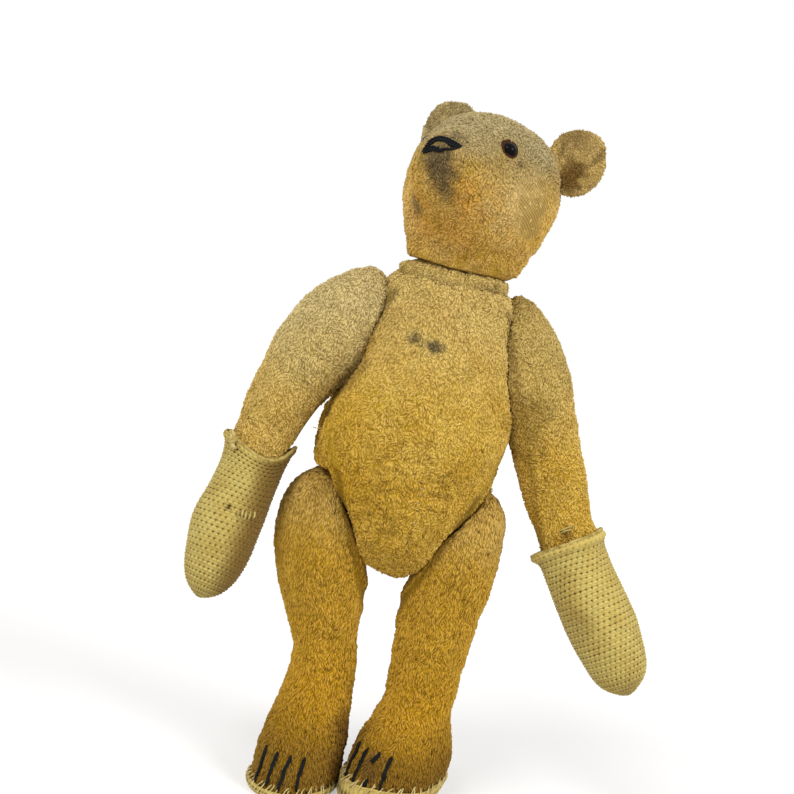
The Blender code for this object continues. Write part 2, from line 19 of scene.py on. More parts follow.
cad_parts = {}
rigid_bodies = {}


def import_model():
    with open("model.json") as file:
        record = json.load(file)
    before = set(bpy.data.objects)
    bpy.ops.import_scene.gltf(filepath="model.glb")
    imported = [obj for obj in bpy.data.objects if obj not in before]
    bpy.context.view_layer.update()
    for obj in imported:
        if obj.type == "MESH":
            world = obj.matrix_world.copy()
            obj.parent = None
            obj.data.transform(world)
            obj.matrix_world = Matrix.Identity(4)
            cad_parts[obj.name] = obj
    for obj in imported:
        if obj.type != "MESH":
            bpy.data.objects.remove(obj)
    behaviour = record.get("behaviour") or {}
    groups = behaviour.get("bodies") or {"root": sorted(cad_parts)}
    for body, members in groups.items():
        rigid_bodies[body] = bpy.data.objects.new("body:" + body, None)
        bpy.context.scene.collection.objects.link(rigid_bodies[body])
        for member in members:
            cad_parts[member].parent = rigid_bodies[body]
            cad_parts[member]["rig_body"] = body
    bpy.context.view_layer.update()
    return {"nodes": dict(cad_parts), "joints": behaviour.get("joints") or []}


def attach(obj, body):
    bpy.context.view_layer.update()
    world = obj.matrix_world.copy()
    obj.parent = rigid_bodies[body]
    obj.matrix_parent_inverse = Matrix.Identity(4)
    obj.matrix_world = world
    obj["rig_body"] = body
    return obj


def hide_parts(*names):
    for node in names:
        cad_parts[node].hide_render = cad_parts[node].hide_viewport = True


bl_info = {
    "name": "Threadbare Teddy Bear",
    "version": (1, 0, 0),
    "blender": (4, 5, 0),
    "location": "View3D > Sidebar > Bear",
    "description": "Dresses a jointed bear's frame in worn plush, crochet and thread",
    "category": "Add Mesh",
}

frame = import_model()
JOINTS = {joint["name"]: joint for joint in frame["joints"]}

MM = 0.001
NECK_JOINT = np.array((1.0, 0.0, 225.5))  # where the neck's joint is, from the neck's axis
SHIFT = np.array(JOINTS["neck"]["pos_m"]) / MM - NECK_JOINT  # from the neck's axis to the frame

# ---- the bear's sections: x, y, z of the middle, half width, half depth, turn in degrees --------

BODY_ENDS = ((1.0, 1.0, 236.0), (0.0, 1.0, 89.6))
BODY = (
    (1.0, 1.0, 225.0, 20.4, 19.8, 8.0),
    (1.0, 1.2, 220.0, 21.8, 21.0, 8.0),
    (1.0, 2.0, 214.5, 28.0, 26.8, 8.0),
    (0.5, 3.0, 200.0, 34.0, 32.5, 8.0),
    (0.0, 2.0, 182.0, 38.5, 36.0, 6.0),
    (-3.0, 0.0, 162.0, 42.0, 38.0, 4.0),
    (-4.0, -1.0, 146.0, 42.0, 38.0, 2.0),
    (-2.0, 0.0, 120.0, 32.5, 31.5, 0.0),
    (0.0, 1.0, 101.5, 23.5, 24.0, 0.0),
)
LEG_ENDS = {
    "right": ((-35.5, 0.0, 134.5), (-21.3, -11.7, -12.0)),
    "left": ((33.0, 0.0, 138.0), (20.3, -7.4, -12.0)),
}
LEGS = {
    "right": (
        (-34.5, 0.0, 128.0, 13.5, 16.5, 0.0),
        (-32.0, -1.0, 114.0, 18.5, 22.0, 0.0),
        (-28.5, -1.0, 97.0, 21.0, 22.0, 0.0),
        (-25.5, 0.0, 78.0, 17.5, 18.5, 0.0),
        (-20.0, 1.0, 57.0, 13.0, 15.5, -5.0),
        (-19.0, 1.0, 39.0, 13.5, 16.0, -10.0),
        (-20.0, -8.0, 20.0, 16.5, 24.5, -15.0),
        (-21.3, -11.7, 3.0, 16.8, 27.4, -15.0),
        (-21.3, -11.7, -6.0, 16.8, 27.4, -15.0),
    ),
    "left": (
        (31.0, 0.0, 131.5, 11.5, 15.5, 0.0),
        (28.0, 0.0, 116.0, 16.5, 22.0, 0.0),
        (25.5, 0.0, 97.0, 18.0, 21.0, 0.0),
        (24.0, 0.0, 78.0, 16.5, 18.0, 0.0),
        (24.0, 0.0, 57.0, 14.0, 15.5, -8.0),
        (25.0, 2.5, 40.0, 14.5, 16.0, -16.0),
        (21.5, -7.0, 23.0, 18.0, 26.5, -32.0),
        (20.3, -7.4, 3.0, 18.0, 28.0, -32.0),
        (20.3, -7.4, -6.0, 18.0, 28.0, -32.0),
    ),
}
# arms: half thickness and half depth, in sections that lie across the arm
ARM_ENDS = {
    "right": ((-31.0, -4.0, 218.0), (-74.0, -26.0, 72.5)),
    "left": ((29.5, 4.0, 218.5), (108.5, -14.0, 66.5)),
}
ARMS = {
    "right": (
        (-33.0, -4.0, 209.5, 14.0, 16.5),
        (-41.0, -4.0, 195.0, 18.0, 18.5),
        (-51.0, -4.5, 177.5, 16.5, 17.5),
        (-58.5, -7.0, 158.0, 14.5, 15.0),
        (-63.0, -12.0, 138.5, 12.0, 12.5),
        (-66.3, -18.0, 115.0, 11.0, 12.0),
        (-69.5, -23.0, 92.5, 11.3, 12.8),
        (-72.5, -25.5, 79.5, 8.0, 9.0),
    ),
    "left": (
        (31.5, 3.5, 209.0, 12.5, 16.0),
        (37.0, 4.0, 195.0, 16.5, 18.5),
        (45.5, 4.0, 177.0, 16.0, 17.5),
        (57.0, 2.5, 151.0, 13.5, 14.5),
        (73.2, -3.0, 119.5, 12.0, 13.0),
        (82.5, -7.0, 104.5, 13.0, 13.5),
        (94.0, -11.0, 89.0, 13.5, 14.5),
        (103.0, -13.5, 75.0, 9.5, 10.5),
    ),
}
CUFF = 4  # the arm's section at which its mitten's cuff stands
FOOT = 7  # the leg's section just above the ground
# head: distance along its forward axis, lift, half width, half height
HEAD_MIDDLE = (5.5, 2.0, 258.0)
HEAD_TURN, HEAD_PITCH, HEAD_ROLL = -25.0, 5.0, 4.0
HEAD_ENDS = ((-37.0, 0.0), (53.0, 1.0))
HEAD = (
    (-29.0, -0.5, 20.0, 21.0),
    (-19.0, -2.0, 31.0, 35.5),
    (-3.0, -2.5, 33.0, 37.0),
    (11.0, -3.5, 32.0, 36.0),
    (22.0, -3.5, 26.5, 30.5),
    (32.0, -1.0, 19.0, 20.5),
    (42.0, 0.5, 14.5, 14.5),
    (49.5, 1.0, 10.0, 9.5),
)
SEAT = 0.2  # from a joint's plane to the cover on each side of it
SOLE_TOP = 2.3  # from the ground to the foot that stands in the sole
# where a joint presses the covers flat, on the body and on the limb: from, to, and how softly
ALL = (-100.0, 400.0, 5.0)
PRESSED = {
    "neck": (ALL, ALL),
    "right_shoulder": ((-100.0, 219.5, 2.0), (150.0, 400.0, 5.0)),
    "left_shoulder": ((-100.0, 219.5, 2.0), (150.0, 400.0, 5.0)),
    "right_hip": ((-100.0, 133.3, 0.7), ALL),
    "left_hip": ((-100.0, 134.5, 2.0), ALL),
}
DISH = 4.4  # how far past its plane a shoulder's rim may wrap


# ---- numbers -----------------------------------------------------------------------------------


def gradient_noise(places, size, seed=0):
    """Smooth noise from about -1 to 1 at each place, with lumps of about that size."""
    spots = places / size + 31.7 * seed
    cells = np.floor(spots).astype(np.int64)
    inside = spots - cells
    ease = inside**3 * (inside * (inside * 6.0 - 15.0) + 10.0)
    total = np.zeros(len(spots))
    for corner in product((0, 1), repeat=3):
        key = (cells + corner) * np.array((73856093, 19349663, 83492791))
        key = (key[:, 0] ^ key[:, 1] ^ key[:, 2]) + seed * 668265263
        slopes = []
        for step in (1, 2, 3):
            mixed = (key * 1274126177 + step * 362437) & 0x7FFFFFFF
            mixed = (mixed ^ (mixed >> 15)) * 2246822519 & 0x7FFFFFFF
            slopes.append(((mixed ^ (mixed >> 13)) & 0xFFFF) / 32767.5 - 1.0)
        away = inside - corner
        weight = np.prod(np.where(corner, ease, 1.0 - ease), axis=1)
        total += weight * sum(away[:, k] * slopes[k] for k in range(3))
    return total * 1.6


def smooth_step(low, high, value):
    """0 below low, 1 above high, with a soft rise between."""
    t = np.clip((value - low) / (high - low), 0.0, 1.0)
    return t * t * (3.0 - 2.0 * t)


def bump(value, middle, half):
    """1 at the middle, falling softly to 0 at twice the half width."""
    return np.exp(-(((value - middle) / half) ** 2))


def away_from(places, spot):
    """How far places lie from a spot."""
    return np.linalg.norm(places - np.array(spot), axis=1)


def reach_along(line):
    """How far along a line each of its points is."""
    steps = np.linalg.norm(np.diff(line, axis=0), axis=1)
    return np.concatenate([[0.0], np.cumsum(steps)])


def unit(rows):
    """Rows of vectors, each made one long."""
    return rows / (np.linalg.norm(rows, axis=-1, keepdims=True) + 1e-12)


def smooth_curve(rows, t):
    """Places on a smooth curve between the second and the third of four rows."""
    a, b, c, d = rows
    curve = 2.0 * b + (c - a) * t + (2.0 * a - 5.0 * b + 4.0 * c - d) * t**2
    return 0.5 * (curve + (3.0 * b - a - 3.0 * c + d) * t**3)


def lumps_on(places, lumps):
    """How far lumps (place, reach, height) raise each place."""
    heights = (high * bump(away_from(places, place), 0.0, reach) for place, reach, high in lumps)
    return sum(heights)


def spots_on(places, spots, ragged=0.35, lump=3.0, seed=5):
    """How much of each spot (place, radius, strength) lies on each place, with a ragged edge."""
    total = np.zeros(len(places))
    wander = 1.0 + ragged * gradient_noise(places, lump, seed)
    for place, radius, strength in spots:
        away = away_from(places, place) * wander
        total += strength * (1.0 - smooth_step(0.25 * radius, radius, away))
    return np.clip(total, 0.0, 1.0)


# ---- lofted forms ------------------------------------------------------------------------------


def rotation(degrees, axis):
    """The matrix of a turn."""
    return np.array(Matrix.Rotation(math.radians(degrees), 3, axis))


def level_rings(rows, ends):
    """Middles, across and along vectors of sections that lie level, with their two ends."""
    rings = []
    for x, y, z, wide, deep, turned in rows:
        spin = rotation(turned, "Z")
        rings.append(np.concatenate([(x, y, z), spin[:, 0] * wide, spin[:, 1] * deep]))
    return rings, ends


def crosswise_rings(rows, ends):
    """Sections that lie across the line through their middles."""
    middles = [np.array(row[:3]) for row in rows]
    rings = []
    for i, row in enumerate(rows):
        line = unit(middles[min(i + 1, len(rows) - 1)] - middles[max(i - 1, 0)])
        along = unit(np.array((0.0, 1.0, 0.0)) - line * line[1])
        rings.append(np.concatenate([middles[i], np.cross(line, along) * row[3], along * row[4]]))
    return rings, ends


def head_spin():
    """The head's own axes, as columns: its left, its back and up."""
    spin = rotation(HEAD_TURN, "Z") @ rotation(HEAD_ROLL, "Y")
    return spin @ rotation(-HEAD_PITCH, "X")


def on_head(out, forward, up):
    """A place given on the head's own axes."""
    return np.array(HEAD_MIDDLE) + head_spin() @ np.array((out, -forward, up))


def head_rings():
    """Sections across the head's forward axis, from its back to the nose."""
    spin = head_spin()
    rings = []
    for forward, lift, wide, high in HEAD:
        middle = on_head(0.0, forward, lift)
        rings.append(np.concatenate([middle, spin[:, 0] * wide, spin[:, 2] * high]))
    return rings, [on_head(0.0, forward, lift) for forward, lift in HEAD_ENDS]


def loft_knots(rings, ends):
    """The rings as the frame's smoothed covers hold them, and the rings half way between.

    A row is a middle, an across vector and an along vector. The row before each end is the one
    after it turned round, so that the form closes in a smooth dome.
    """
    rings = np.array(rings)
    caps = [np.concatenate([np.array(end), np.zeros(6)]) for end in ends]
    full = np.vstack([caps[0], rings, caps[1]])
    settled = (full[:-2] + 6.0 * full[1:-1] + full[2:]) / 8.0
    knots = []
    for i, row in enumerate(settled):
        knots.append(row)
        if i + 1 < len(settled):
            knots.append((rings[i] + rings[i + 1]) / 2.0)
    domes = []
    for cap, ring in ((caps[0], rings[0]), (caps[1], rings[-1])):
        shoulder = np.concatenate([0.417 * cap[:3] + 0.583 * ring[:3], 0.58 * ring[3:]])
        pole = np.concatenate([0.79 * cap[:3] + 0.21 * ring[:3], np.zeros(6)])
        mirrored = np.concatenate([shoulder[:3], -shoulder[3:]])
        domes.append((mirrored, pole, shoulder))
    return np.array([*domes[0], *knots, *reversed(domes[1])])


def loft_at(knots, steps):
    """Rows of the loft at each step, where step 0 is the first pole, on a smooth curve."""
    last = len(knots) - 4
    steps = np.clip(steps, 0.0, last + 1.0)
    left = np.minimum(steps.astype(int), last)
    t = (steps - left)[:, None]
    return smooth_curve([knots[left + k] for k in range(4)], t)


def loft_point(knots, steps, angles):
    """Places on the loft."""
    rows = loft_at(knots, steps)
    turn = np.cos(angles)[:, None] * rows[:, 3:6] + np.sin(angles)[:, None] * rows[:, 6:9]
    return rows[:, :3] + turn


def even_steps(knots, count, density=None):
    """Steps along a loft, as far apart as its surface is long, or closer where density is high."""
    fine = np.linspace(0.0, len(knots) - 3.0, 600)
    lengths = np.zeros(len(fine) - 1)
    for angle in np.linspace(0.0, 2.0 * math.pi, 8, endpoint=False):
        line = loft_point(knots, fine, np.full(len(fine), angle))
        lengths += np.linalg.norm(np.diff(line, axis=0), axis=1) / 8.0
    if density is not None:
        middles = loft_at(knots, (fine[:-1] + fine[1:]) / 2.0)[:, :3]
        lengths *= density(middles)
    gone = np.concatenate([[0.0], np.cumsum(lengths)])
    return np.interp(np.linspace(0.0, gone[-1], count + 1), gone, fine)


def press(places, joint, on_limb, softness=0.7):
    """Press places back behind a joint's plane, as the discs inside hold the two covers."""
    data = JOINTS[joint]
    axis = np.array(data["axis"]) / np.linalg.norm(data["axis"])
    side = 1.0 if on_limb else -1.0
    outward = -axis if on_limb else axis
    start = np.array(data["pos_m"]) / MM - SHIFT + side * axis * SEAT
    low, high, edge = PRESSED[joint][1 if on_limb else 0]
    if joint.endswith("_hip") and not on_limb and softness > 0.5:
        high -= 5.0  # the coarse mesh is pressed lower, as smoothing it lifts the corner
    over = (places - start) @ outward
    flat = places - start - over[:, None] * outward
    aside = np.linalg.norm(flat, axis=1)
    rise = flat[:, 2] / (aside + 1e-6)
    if joint.endswith("_shoulder"):
        # beyond its disc a shoulder is dished: the arm's edge wraps a little over the chest,
        # and at the top the body's shoulder lies over the arm
        top = smooth_step(0.1, 0.8, rise)
        dish = smooth_step(11.0, 22.0, aside) * (DISH * (1.0 - top) - 4.5 * top)
    elif joint.endswith("_hip"):
        # the belly lies a little over the thigh at the top, and the thigh over the belly below
        top = smooth_step(-0.1, 0.8, rise)
        dish = smooth_step(9.0, 20.0, aside) * (2.4 * (1.0 - top) - 3.0 * top)
    else:
        # the gathered neck stands a little way up into the head, whose edge hangs over it
        west = smooth_step(0.0, 1.0, (start - places)[:, 0] / (aside + 1e-6))
        hang = 1.8 * (1.0 - west) if on_limb else 2.1 - 1.0 * west
        dish = hang * smooth_step(15.0, 20.0, aside) - 0.9 * bump(aside, 12.5, 5.5)
    over = over - dish if on_limb else over + dish
    kept = -softness * np.logaddexp(0.0, -over / softness)
    held = smooth_step(low - edge, low + edge, places[:, 2])
    held *= 1.0 - smooth_step(high - edge, high + edge, places[:, 2])
    return places + ((kept - over) * held)[:, None] * outward


# ---- meshes ------------------------------------------------------------------------------------


def read(items, name, wide=1, kind=float):
    """One property of a mesh's items: a number for each, or a row of them."""
    flat = np.zeros(len(items) * wide, dtype=kind)
    items.foreach_get(name, flat)
    return flat.reshape(-1, wide) if wide > 1 else flat


def coordinates(mesh):
    """A mesh's vertices, in millimetres from the neck's axis."""
    return read(mesh.vertices, "co", 3) / MM - SHIFT


def move_to(mesh, places):
    """Put a mesh's vertices at those places."""
    mesh.vertices.foreach_set("co", ((places + SHIFT) * MM).ravel())
    mesh.update()


def normals(mesh):
    """A mesh's vertex normals."""
    return read(mesh.vertex_normals, "vector", 3)


def attribute(mesh, name, values=None):
    """Read a float for each vertex, or write it."""
    if values is None:
        return read(mesh.attributes[name].data, "value")
    made = mesh.attributes.get(name) or mesh.attributes.new(name, "FLOAT", "POINT")
    made.data.foreach_set("value", values.astype(np.float32))
    return values


def loft_normal(knots, steps, angles):
    """Directions straight out of the loft."""
    last = len(knots) - 3.0
    low, high = np.clip(steps - 0.05, 0.02, last - 0.12), np.clip(steps + 0.05, 0.12, last - 0.02)
    along = loft_point(knots, high, angles) - loft_point(knots, low, angles)
    middle = (low + high) / 2.0
    around = loft_point(knots, middle, angles + 0.05) - loft_point(knots, middle, angles - 0.05)
    out = unit(np.cross(along, around))
    heart = loft_at(knots, middle)[:, :3]
    sign = np.sign(np.sum(out * (loft_point(knots, middle, angles) - heart), axis=1))
    return out * np.where(sign == 0.0, 1.0, sign)[:, None]


def new_mesh(name, bm):
    """A new mesh of what a bmesh holds."""
    mesh = bpy.data.meshes.new(name)
    bm.to_mesh(mesh)
    bm.free()
    return mesh


def in_order(loose):
    """A bmesh with its faces made anew in the order of their vertices, so that runs agree."""
    loose.verts.index_update()
    rows = sorted([vert.index for vert in face.verts] for face in loose.faces)
    bm = bmesh.new()
    verts = [bm.verts.new(vert.co) for vert in loose.verts]
    for row in rows:
        bm.faces.new([verts[i] for i in row])
    loose.free()
    return bm


def sphere_mesh(name, around, rings):
    """A round mesh, with each vertex's ring and its angle round the axis."""
    bm = bmesh.new()
    bmesh.ops.create_uvsphere(bm, u_segments=around, v_segments=rings, radius=1.0)
    mesh = new_mesh(name, in_order(bm))
    ball = read(mesh.vertices, "co", 3)
    ring = np.rint(np.arccos(np.clip(ball[:, 2], -1.0, 1.0)) / math.pi * rings).astype(int)
    return mesh, ring, np.arctan2(ball[:, 1], ball[:, 0])


def loft_mesh(name, knots, around, rings, density=None):
    """A closed mesh over a loft."""
    mesh, ring, angles = sphere_mesh(name, around, rings)
    move_to(mesh, loft_point(knots, even_steps(knots, rings, density)[ring], angles))
    face_outward(mesh)
    return mesh


def face_outward(mesh):
    """Turn a closed mesh's faces outward."""
    bm = bmesh.new()
    bm.from_mesh(mesh)
    bmesh.ops.recalc_face_normals(bm, faces=bm.faces)
    if bm.calc_volume(signed=True) < 0.0:
        bmesh.ops.reverse_faces(bm, faces=bm.faces)
    bm.to_mesh(mesh)
    bm.free()


def new_object(name, data):
    """A new object in the scene."""
    made = bpy.data.objects.new(name, data)
    bpy.context.scene.collection.objects.link(made)
    return made


def seen_mesh(carrier):
    """A new mesh of what an object's modifiers make of it."""
    seen = carrier.evaluated_get(bpy.context.evaluated_depsgraph_get())
    return bpy.data.meshes.new_from_object(seen)


def applied(mesh, name, kind, **settings):
    """The mesh after one modifier."""
    carrier = new_object("carrier", mesh)
    modifier = carrier.modifiers.new(name, kind)
    for key, value in settings.items():
        setattr(modifier, key, value)
    finished = seen_mesh(carrier)
    finished.name = mesh.name
    bpy.data.objects.remove(carrier)
    return finished


CLOTH_FRAMES = 16
WORN_PLUSH_CLOTH = {
    "quality": 5,
    "mass": 0.02,
    "tension_stiffness": 12.0,
    "compression_stiffness": 12.0,
    "bending_stiffness": 0.05,
    "use_pressure": True,
    "uniform_pressure_force": 4.0,
    "vertex_group_mass": "held",
    "shrink_min": -0.03,
}


def filled(mesh, held, cap):
    """Stuff a cover: simulate its cloth under pressure from inside, moving no further than cap.

    held is 1 where a seam, a disc or a sole holds the cloth still.
    """
    before = coordinates(mesh)
    carrier = new_object("carrier", mesh)
    group = carrier.vertex_groups.new(name="held")
    levels = np.round(held, 1)
    for level in np.unique(levels):
        group.add(np.nonzero(levels == level)[0].tolist(), float(level), "REPLACE")
    cloth = carrier.modifiers.new("Cloth", "CLOTH")
    for key, value in WORN_PLUSH_CLOTH.items():
        setattr(cloth.settings, key, value)
    cloth.settings.effector_weights.gravity = 0.0
    cloth.collision_settings.use_collision = False
    cloth.point_cache.frame_start = 1
    cloth.point_cache.frame_end = CLOTH_FRAMES
    for step in range(1, CLOTH_FRAMES + 1):
        bpy.context.scene.frame_set(step)
    settled = seen_mesh(carrier)
    moved = coordinates(settled) - before
    bpy.data.meshes.remove(settled)
    bpy.data.objects.remove(carrier)
    bpy.context.scene.frame_set(1)
    length = np.linalg.norm(moved, axis=1, keepdims=True) + 1e-9
    move_to(mesh, before + moved * cap * np.tanh(length / cap) / length)


def add_piece(name, data, body, slot, finish, replaces=()):
    """One finished piece that rides on a body of the frame."""
    piece = new_object(name, data)
    data.materials.clear()
    data.materials.append(bpy.data.materials[finish])
    if piece.type == "MESH":
        data.shade_smooth()
    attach(piece, body)
    if replaces:
        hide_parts(*replaces)
    return piece


def tree_of(piece):
    """A tree for finding places on a finished mesh piece."""
    bm = bmesh.new()
    bm.from_mesh(piece.data)
    tree = BVHTree.FromBMesh(bm)
    bm.free()
    return tree


def ray_to(tree, start, direction, lift):
    """Where a ray meets a piece, lifted off it, and the way out of it there."""
    begin = Vector((np.array(start) + SHIFT) * MM)
    hit, normal, _, _ = tree.ray_cast(begin, Vector(direction))
    if hit is None:
        raise RuntimeError(f"nothing lies ahead of {start}")
    return np.array(hit) / MM - SHIFT + np.array(normal) * lift, np.array(normal)


def nearest_to(tree, place, lift):
    """The nearest place on a piece, lifted off it, and the way out of it there."""
    hit, normal, _, _ = tree.find_nearest(Vector((np.array(place) + SHIFT) * MM))
    return np.array(hit) / MM - SHIFT + np.array(normal) * lift, np.array(normal)


def smooth_path(points, count):
    """Evenly spaced places on a smooth curve through the points."""
    points = np.array(points, float)
    full = np.vstack([2.0 * points[0] - points[1], points, 2.0 * points[-1] - points[-2]])
    fine = []
    for i in range(len(points) - 1):
        t = np.linspace(0.0, 1.0, 12, endpoint=False)[:, None]
        fine.append(smooth_curve(full[i : i + 4], t))
    fine = np.vstack([*fine, points[-1:]])
    gone = reach_along(fine)
    even = np.linspace(0.0, gone[-1], count)
    return np.stack([np.interp(even, gone, fine[:, k]) for k in range(3)], axis=1)


THREAD_UP = (0.31, 0.17, 0.93)  # a way that no thread runs in
PLY_THIN, PLY_OFF = 0.62, 0.5  # a ply's radius, and how far it lies off the thread's middle


def thread_data(name, paths, radius, plies=1, twist=2.2, step=0.5, sides=1, taper=0.35):
    """Thread along each path: plies strands that wind round each other once every twist."""
    curve = bpy.data.curves.new(name, "CURVE")
    curve.dimensions = "3D"
    curve.bevel_depth = MM
    curve.bevel_resolution = sides
    curve.use_fill_caps = True
    for number, path in enumerate(paths):
        path = np.array(path, float)
        length = reach_along(path)[-1]
        count = max(int(length / step) + 1, 5)
        line = smooth_path(path, count)
        forward = unit(np.gradient(line, axis=0))
        side = unit(np.cross(forward, THREAD_UP))
        other = np.cross(forward, side)
        gone = np.linspace(0.0, length, count)
        thin = radius * (1.0 if plies == 1 else PLY_THIN)
        for ply in range(plies):
            turn = 2.0 * math.pi * (gone / twist + ply / plies + 0.37 * number)
            off = 0.0 if plies == 1 else radius * PLY_OFF
            wound = line + off * (np.cos(turn)[:, None] * side + np.sin(turn)[:, None] * other)
            spline = curve.splines.new("POLY")
            spline.points.add(count - 1)
            places = (wound + SHIFT) * MM
            flat = np.concatenate([places, np.ones((count, 1))], axis=1).ravel()
            spline.points.foreach_set("co", flat)
            end = np.minimum(gone, length - gone) / (2.0 * radius)
            size = thin * (taper + (1.0 - taper) * np.sqrt(np.clip(end, 0.0, 1.0)))
            spline.points.foreach_set("radius", size)
            spline.use_smooth = True
    return curve


def add_threads(name, body, slot, finish, paths, radius, replaces=(), **lay):
    """Threads along paths, all one piece."""
    return add_piece(name, thread_data(name, paths, radius, **lay), body, slot, finish, replaces)


# ---- finishes ----------------------------------------------------------------------------------


def linear(code):
    """A material colour from its sRGB hex code."""
    parts = [int(code[i : i + 2], 16) / 255.0 for i in (1, 3, 5)]
    return tuple(p / 12.92 if p <= 0.04045 else ((p + 0.055) / 1.055) ** 2.4 for p in parts)


def new_material(name):
    """The empty node tree of a new material."""
    made = bpy.data.materials.new(name)
    made.use_nodes = True
    made.node_tree.nodes.clear()
    return made.node_tree


def node(tree, kind, inputs=(), **settings):
    """Add a node with its settings, input values and links.

    Inputs are a dict, or a row of the first ones. A node given as one links its first output.
    """
    made = tree.nodes.new("ShaderNode" + kind)
    for key, value in settings.items():
        setattr(made, key, value)
    for key, value in inputs.items() if isinstance(inputs, dict) else enumerate(inputs):
        if isinstance(value, bpy.types.Node):
            value = next(output for output in value.outputs if output.enabled)
        if isinstance(value, bpy.types.NodeSocket):
            tree.links.new(value, made.inputs[key])
        elif made.inputs[key].type == "RGBA":
            made.inputs[key].default_value = (*value[:3], 1.0)
        else:
            made.inputs[key].default_value = value
    return made


def grain(places, size, detail, rough=0.5):
    """A noise's inputs for grain of that size in millimetres."""
    return {"Vector": places, "Scale": 1.0 / (size * MM), "Detail": detail, "Roughness": rough}


def swayed(tree, places, size, reach, stretch):
    """Places pushed about by a slow noise, so that a pattern on them wanders, then stretched."""
    slow = node(tree, "TexNoise", grain(places, size, 1.0)).outputs["Color"]
    middle = node(tree, "VectorMath", (slow, (0.5, 0.5, 0.5)), operation="SUBTRACT")
    push = node(tree, "VectorMath", {0: middle, "Scale": reach * MM}, operation="SCALE")
    moved = node(tree, "VectorMath", (places, push), operation="ADD")
    return node(tree, "Mapping", {"Vector": moved, "Scale": stretch})


def crevices(tree, places, size, width):
    """1 on a curl of pile and 0 in the dark gap beside it, for curls of about that size."""
    noise = node(tree, "TexNoise", grain(places, size, 1.2))
    off = node(tree, "Math", (noise, 0.5), operation="SUBTRACT")
    away = node(tree, "Math", (off,), operation="ABSOLUTE")
    return node(tree, "MapRange", (away, 0.0, width), interpolation_type="SMOOTHSTEP")


def plush_colour(tree, finish, gold, amber, places, marks):
    """The colour of worn mohair: patches of gold, amber and faded pile, handling dirt and painted
    shade.
    """
    patch = node(tree, "TexNoise", grain(places, 15.0, 4.0, 0.62))
    patch = node(tree, "MapRange", (patch, 0.38, 0.68))
    colour = node(tree, "Mix", {0: patch, 6: gold, 7: finish.gold_deep}, data_type="RGBA")
    colour = node(tree, "Mix", {0: marks["amber"], 6: colour, 7: amber}, data_type="RGBA")
    colour = node(tree, "Mix", {0: marks["pale"], 6: colour, 7: finish.faded}, data_type="RGBA")
    fleck = node(tree, "TexNoise", grain(places, 2.2, 3.0, 0.6))
    speck = node(tree, "MapRange", (fleck, 0.3, 0.62))
    # handling dirt, and painted shade where the soil mark carries it
    dirt = node(tree, "Math", (marks["soil"], speck), operation="MULTIPLY")
    dirt = node(tree, "Math", (dirt, 0.45, marks["soil"]), operation="MULTIPLY_ADD")
    dirt = node(tree, "Math", (dirt, 0.88), operation="MINIMUM")
    colour = node(tree, "Mix", {0: dirt, 6: colour, 7: finish.grime_and_shade}, data_type="RGBA")
    # painted shade: the shade mark darkens the pile towards the crease colour
    shade = node(tree, "Math", (marks["shade"], 0.8), operation="MULTIPLY")
    return node(tree, "Mix", {0: shade, 6: colour, 7: finish.crease}, data_type="RGBA")


def marks_of(tree, names):
    """Each mark's amount on a piece."""
    return {name: node(tree, "Attribute", attribute_name=name).outputs["Fac"] for name in names}


# mohair is dull, with a little of the sheen of fine fibres
MOHAIR = {
    "Roughness": 0.9,
    "Specular IOR Level": 0.08,
    "Sheen Weight": 0.04,
    "Sheen Roughness": 0.5,
    "Sheen Tint": (1.0, 0.88, 0.62),
}
WARP_TILT, WARP_TURN = 58.0, -48.0  # how the cheek's backing lies, in degrees
WARP = 1.2 * MM  # from thread to thread of the backing, drawn coarser than real so that it shows


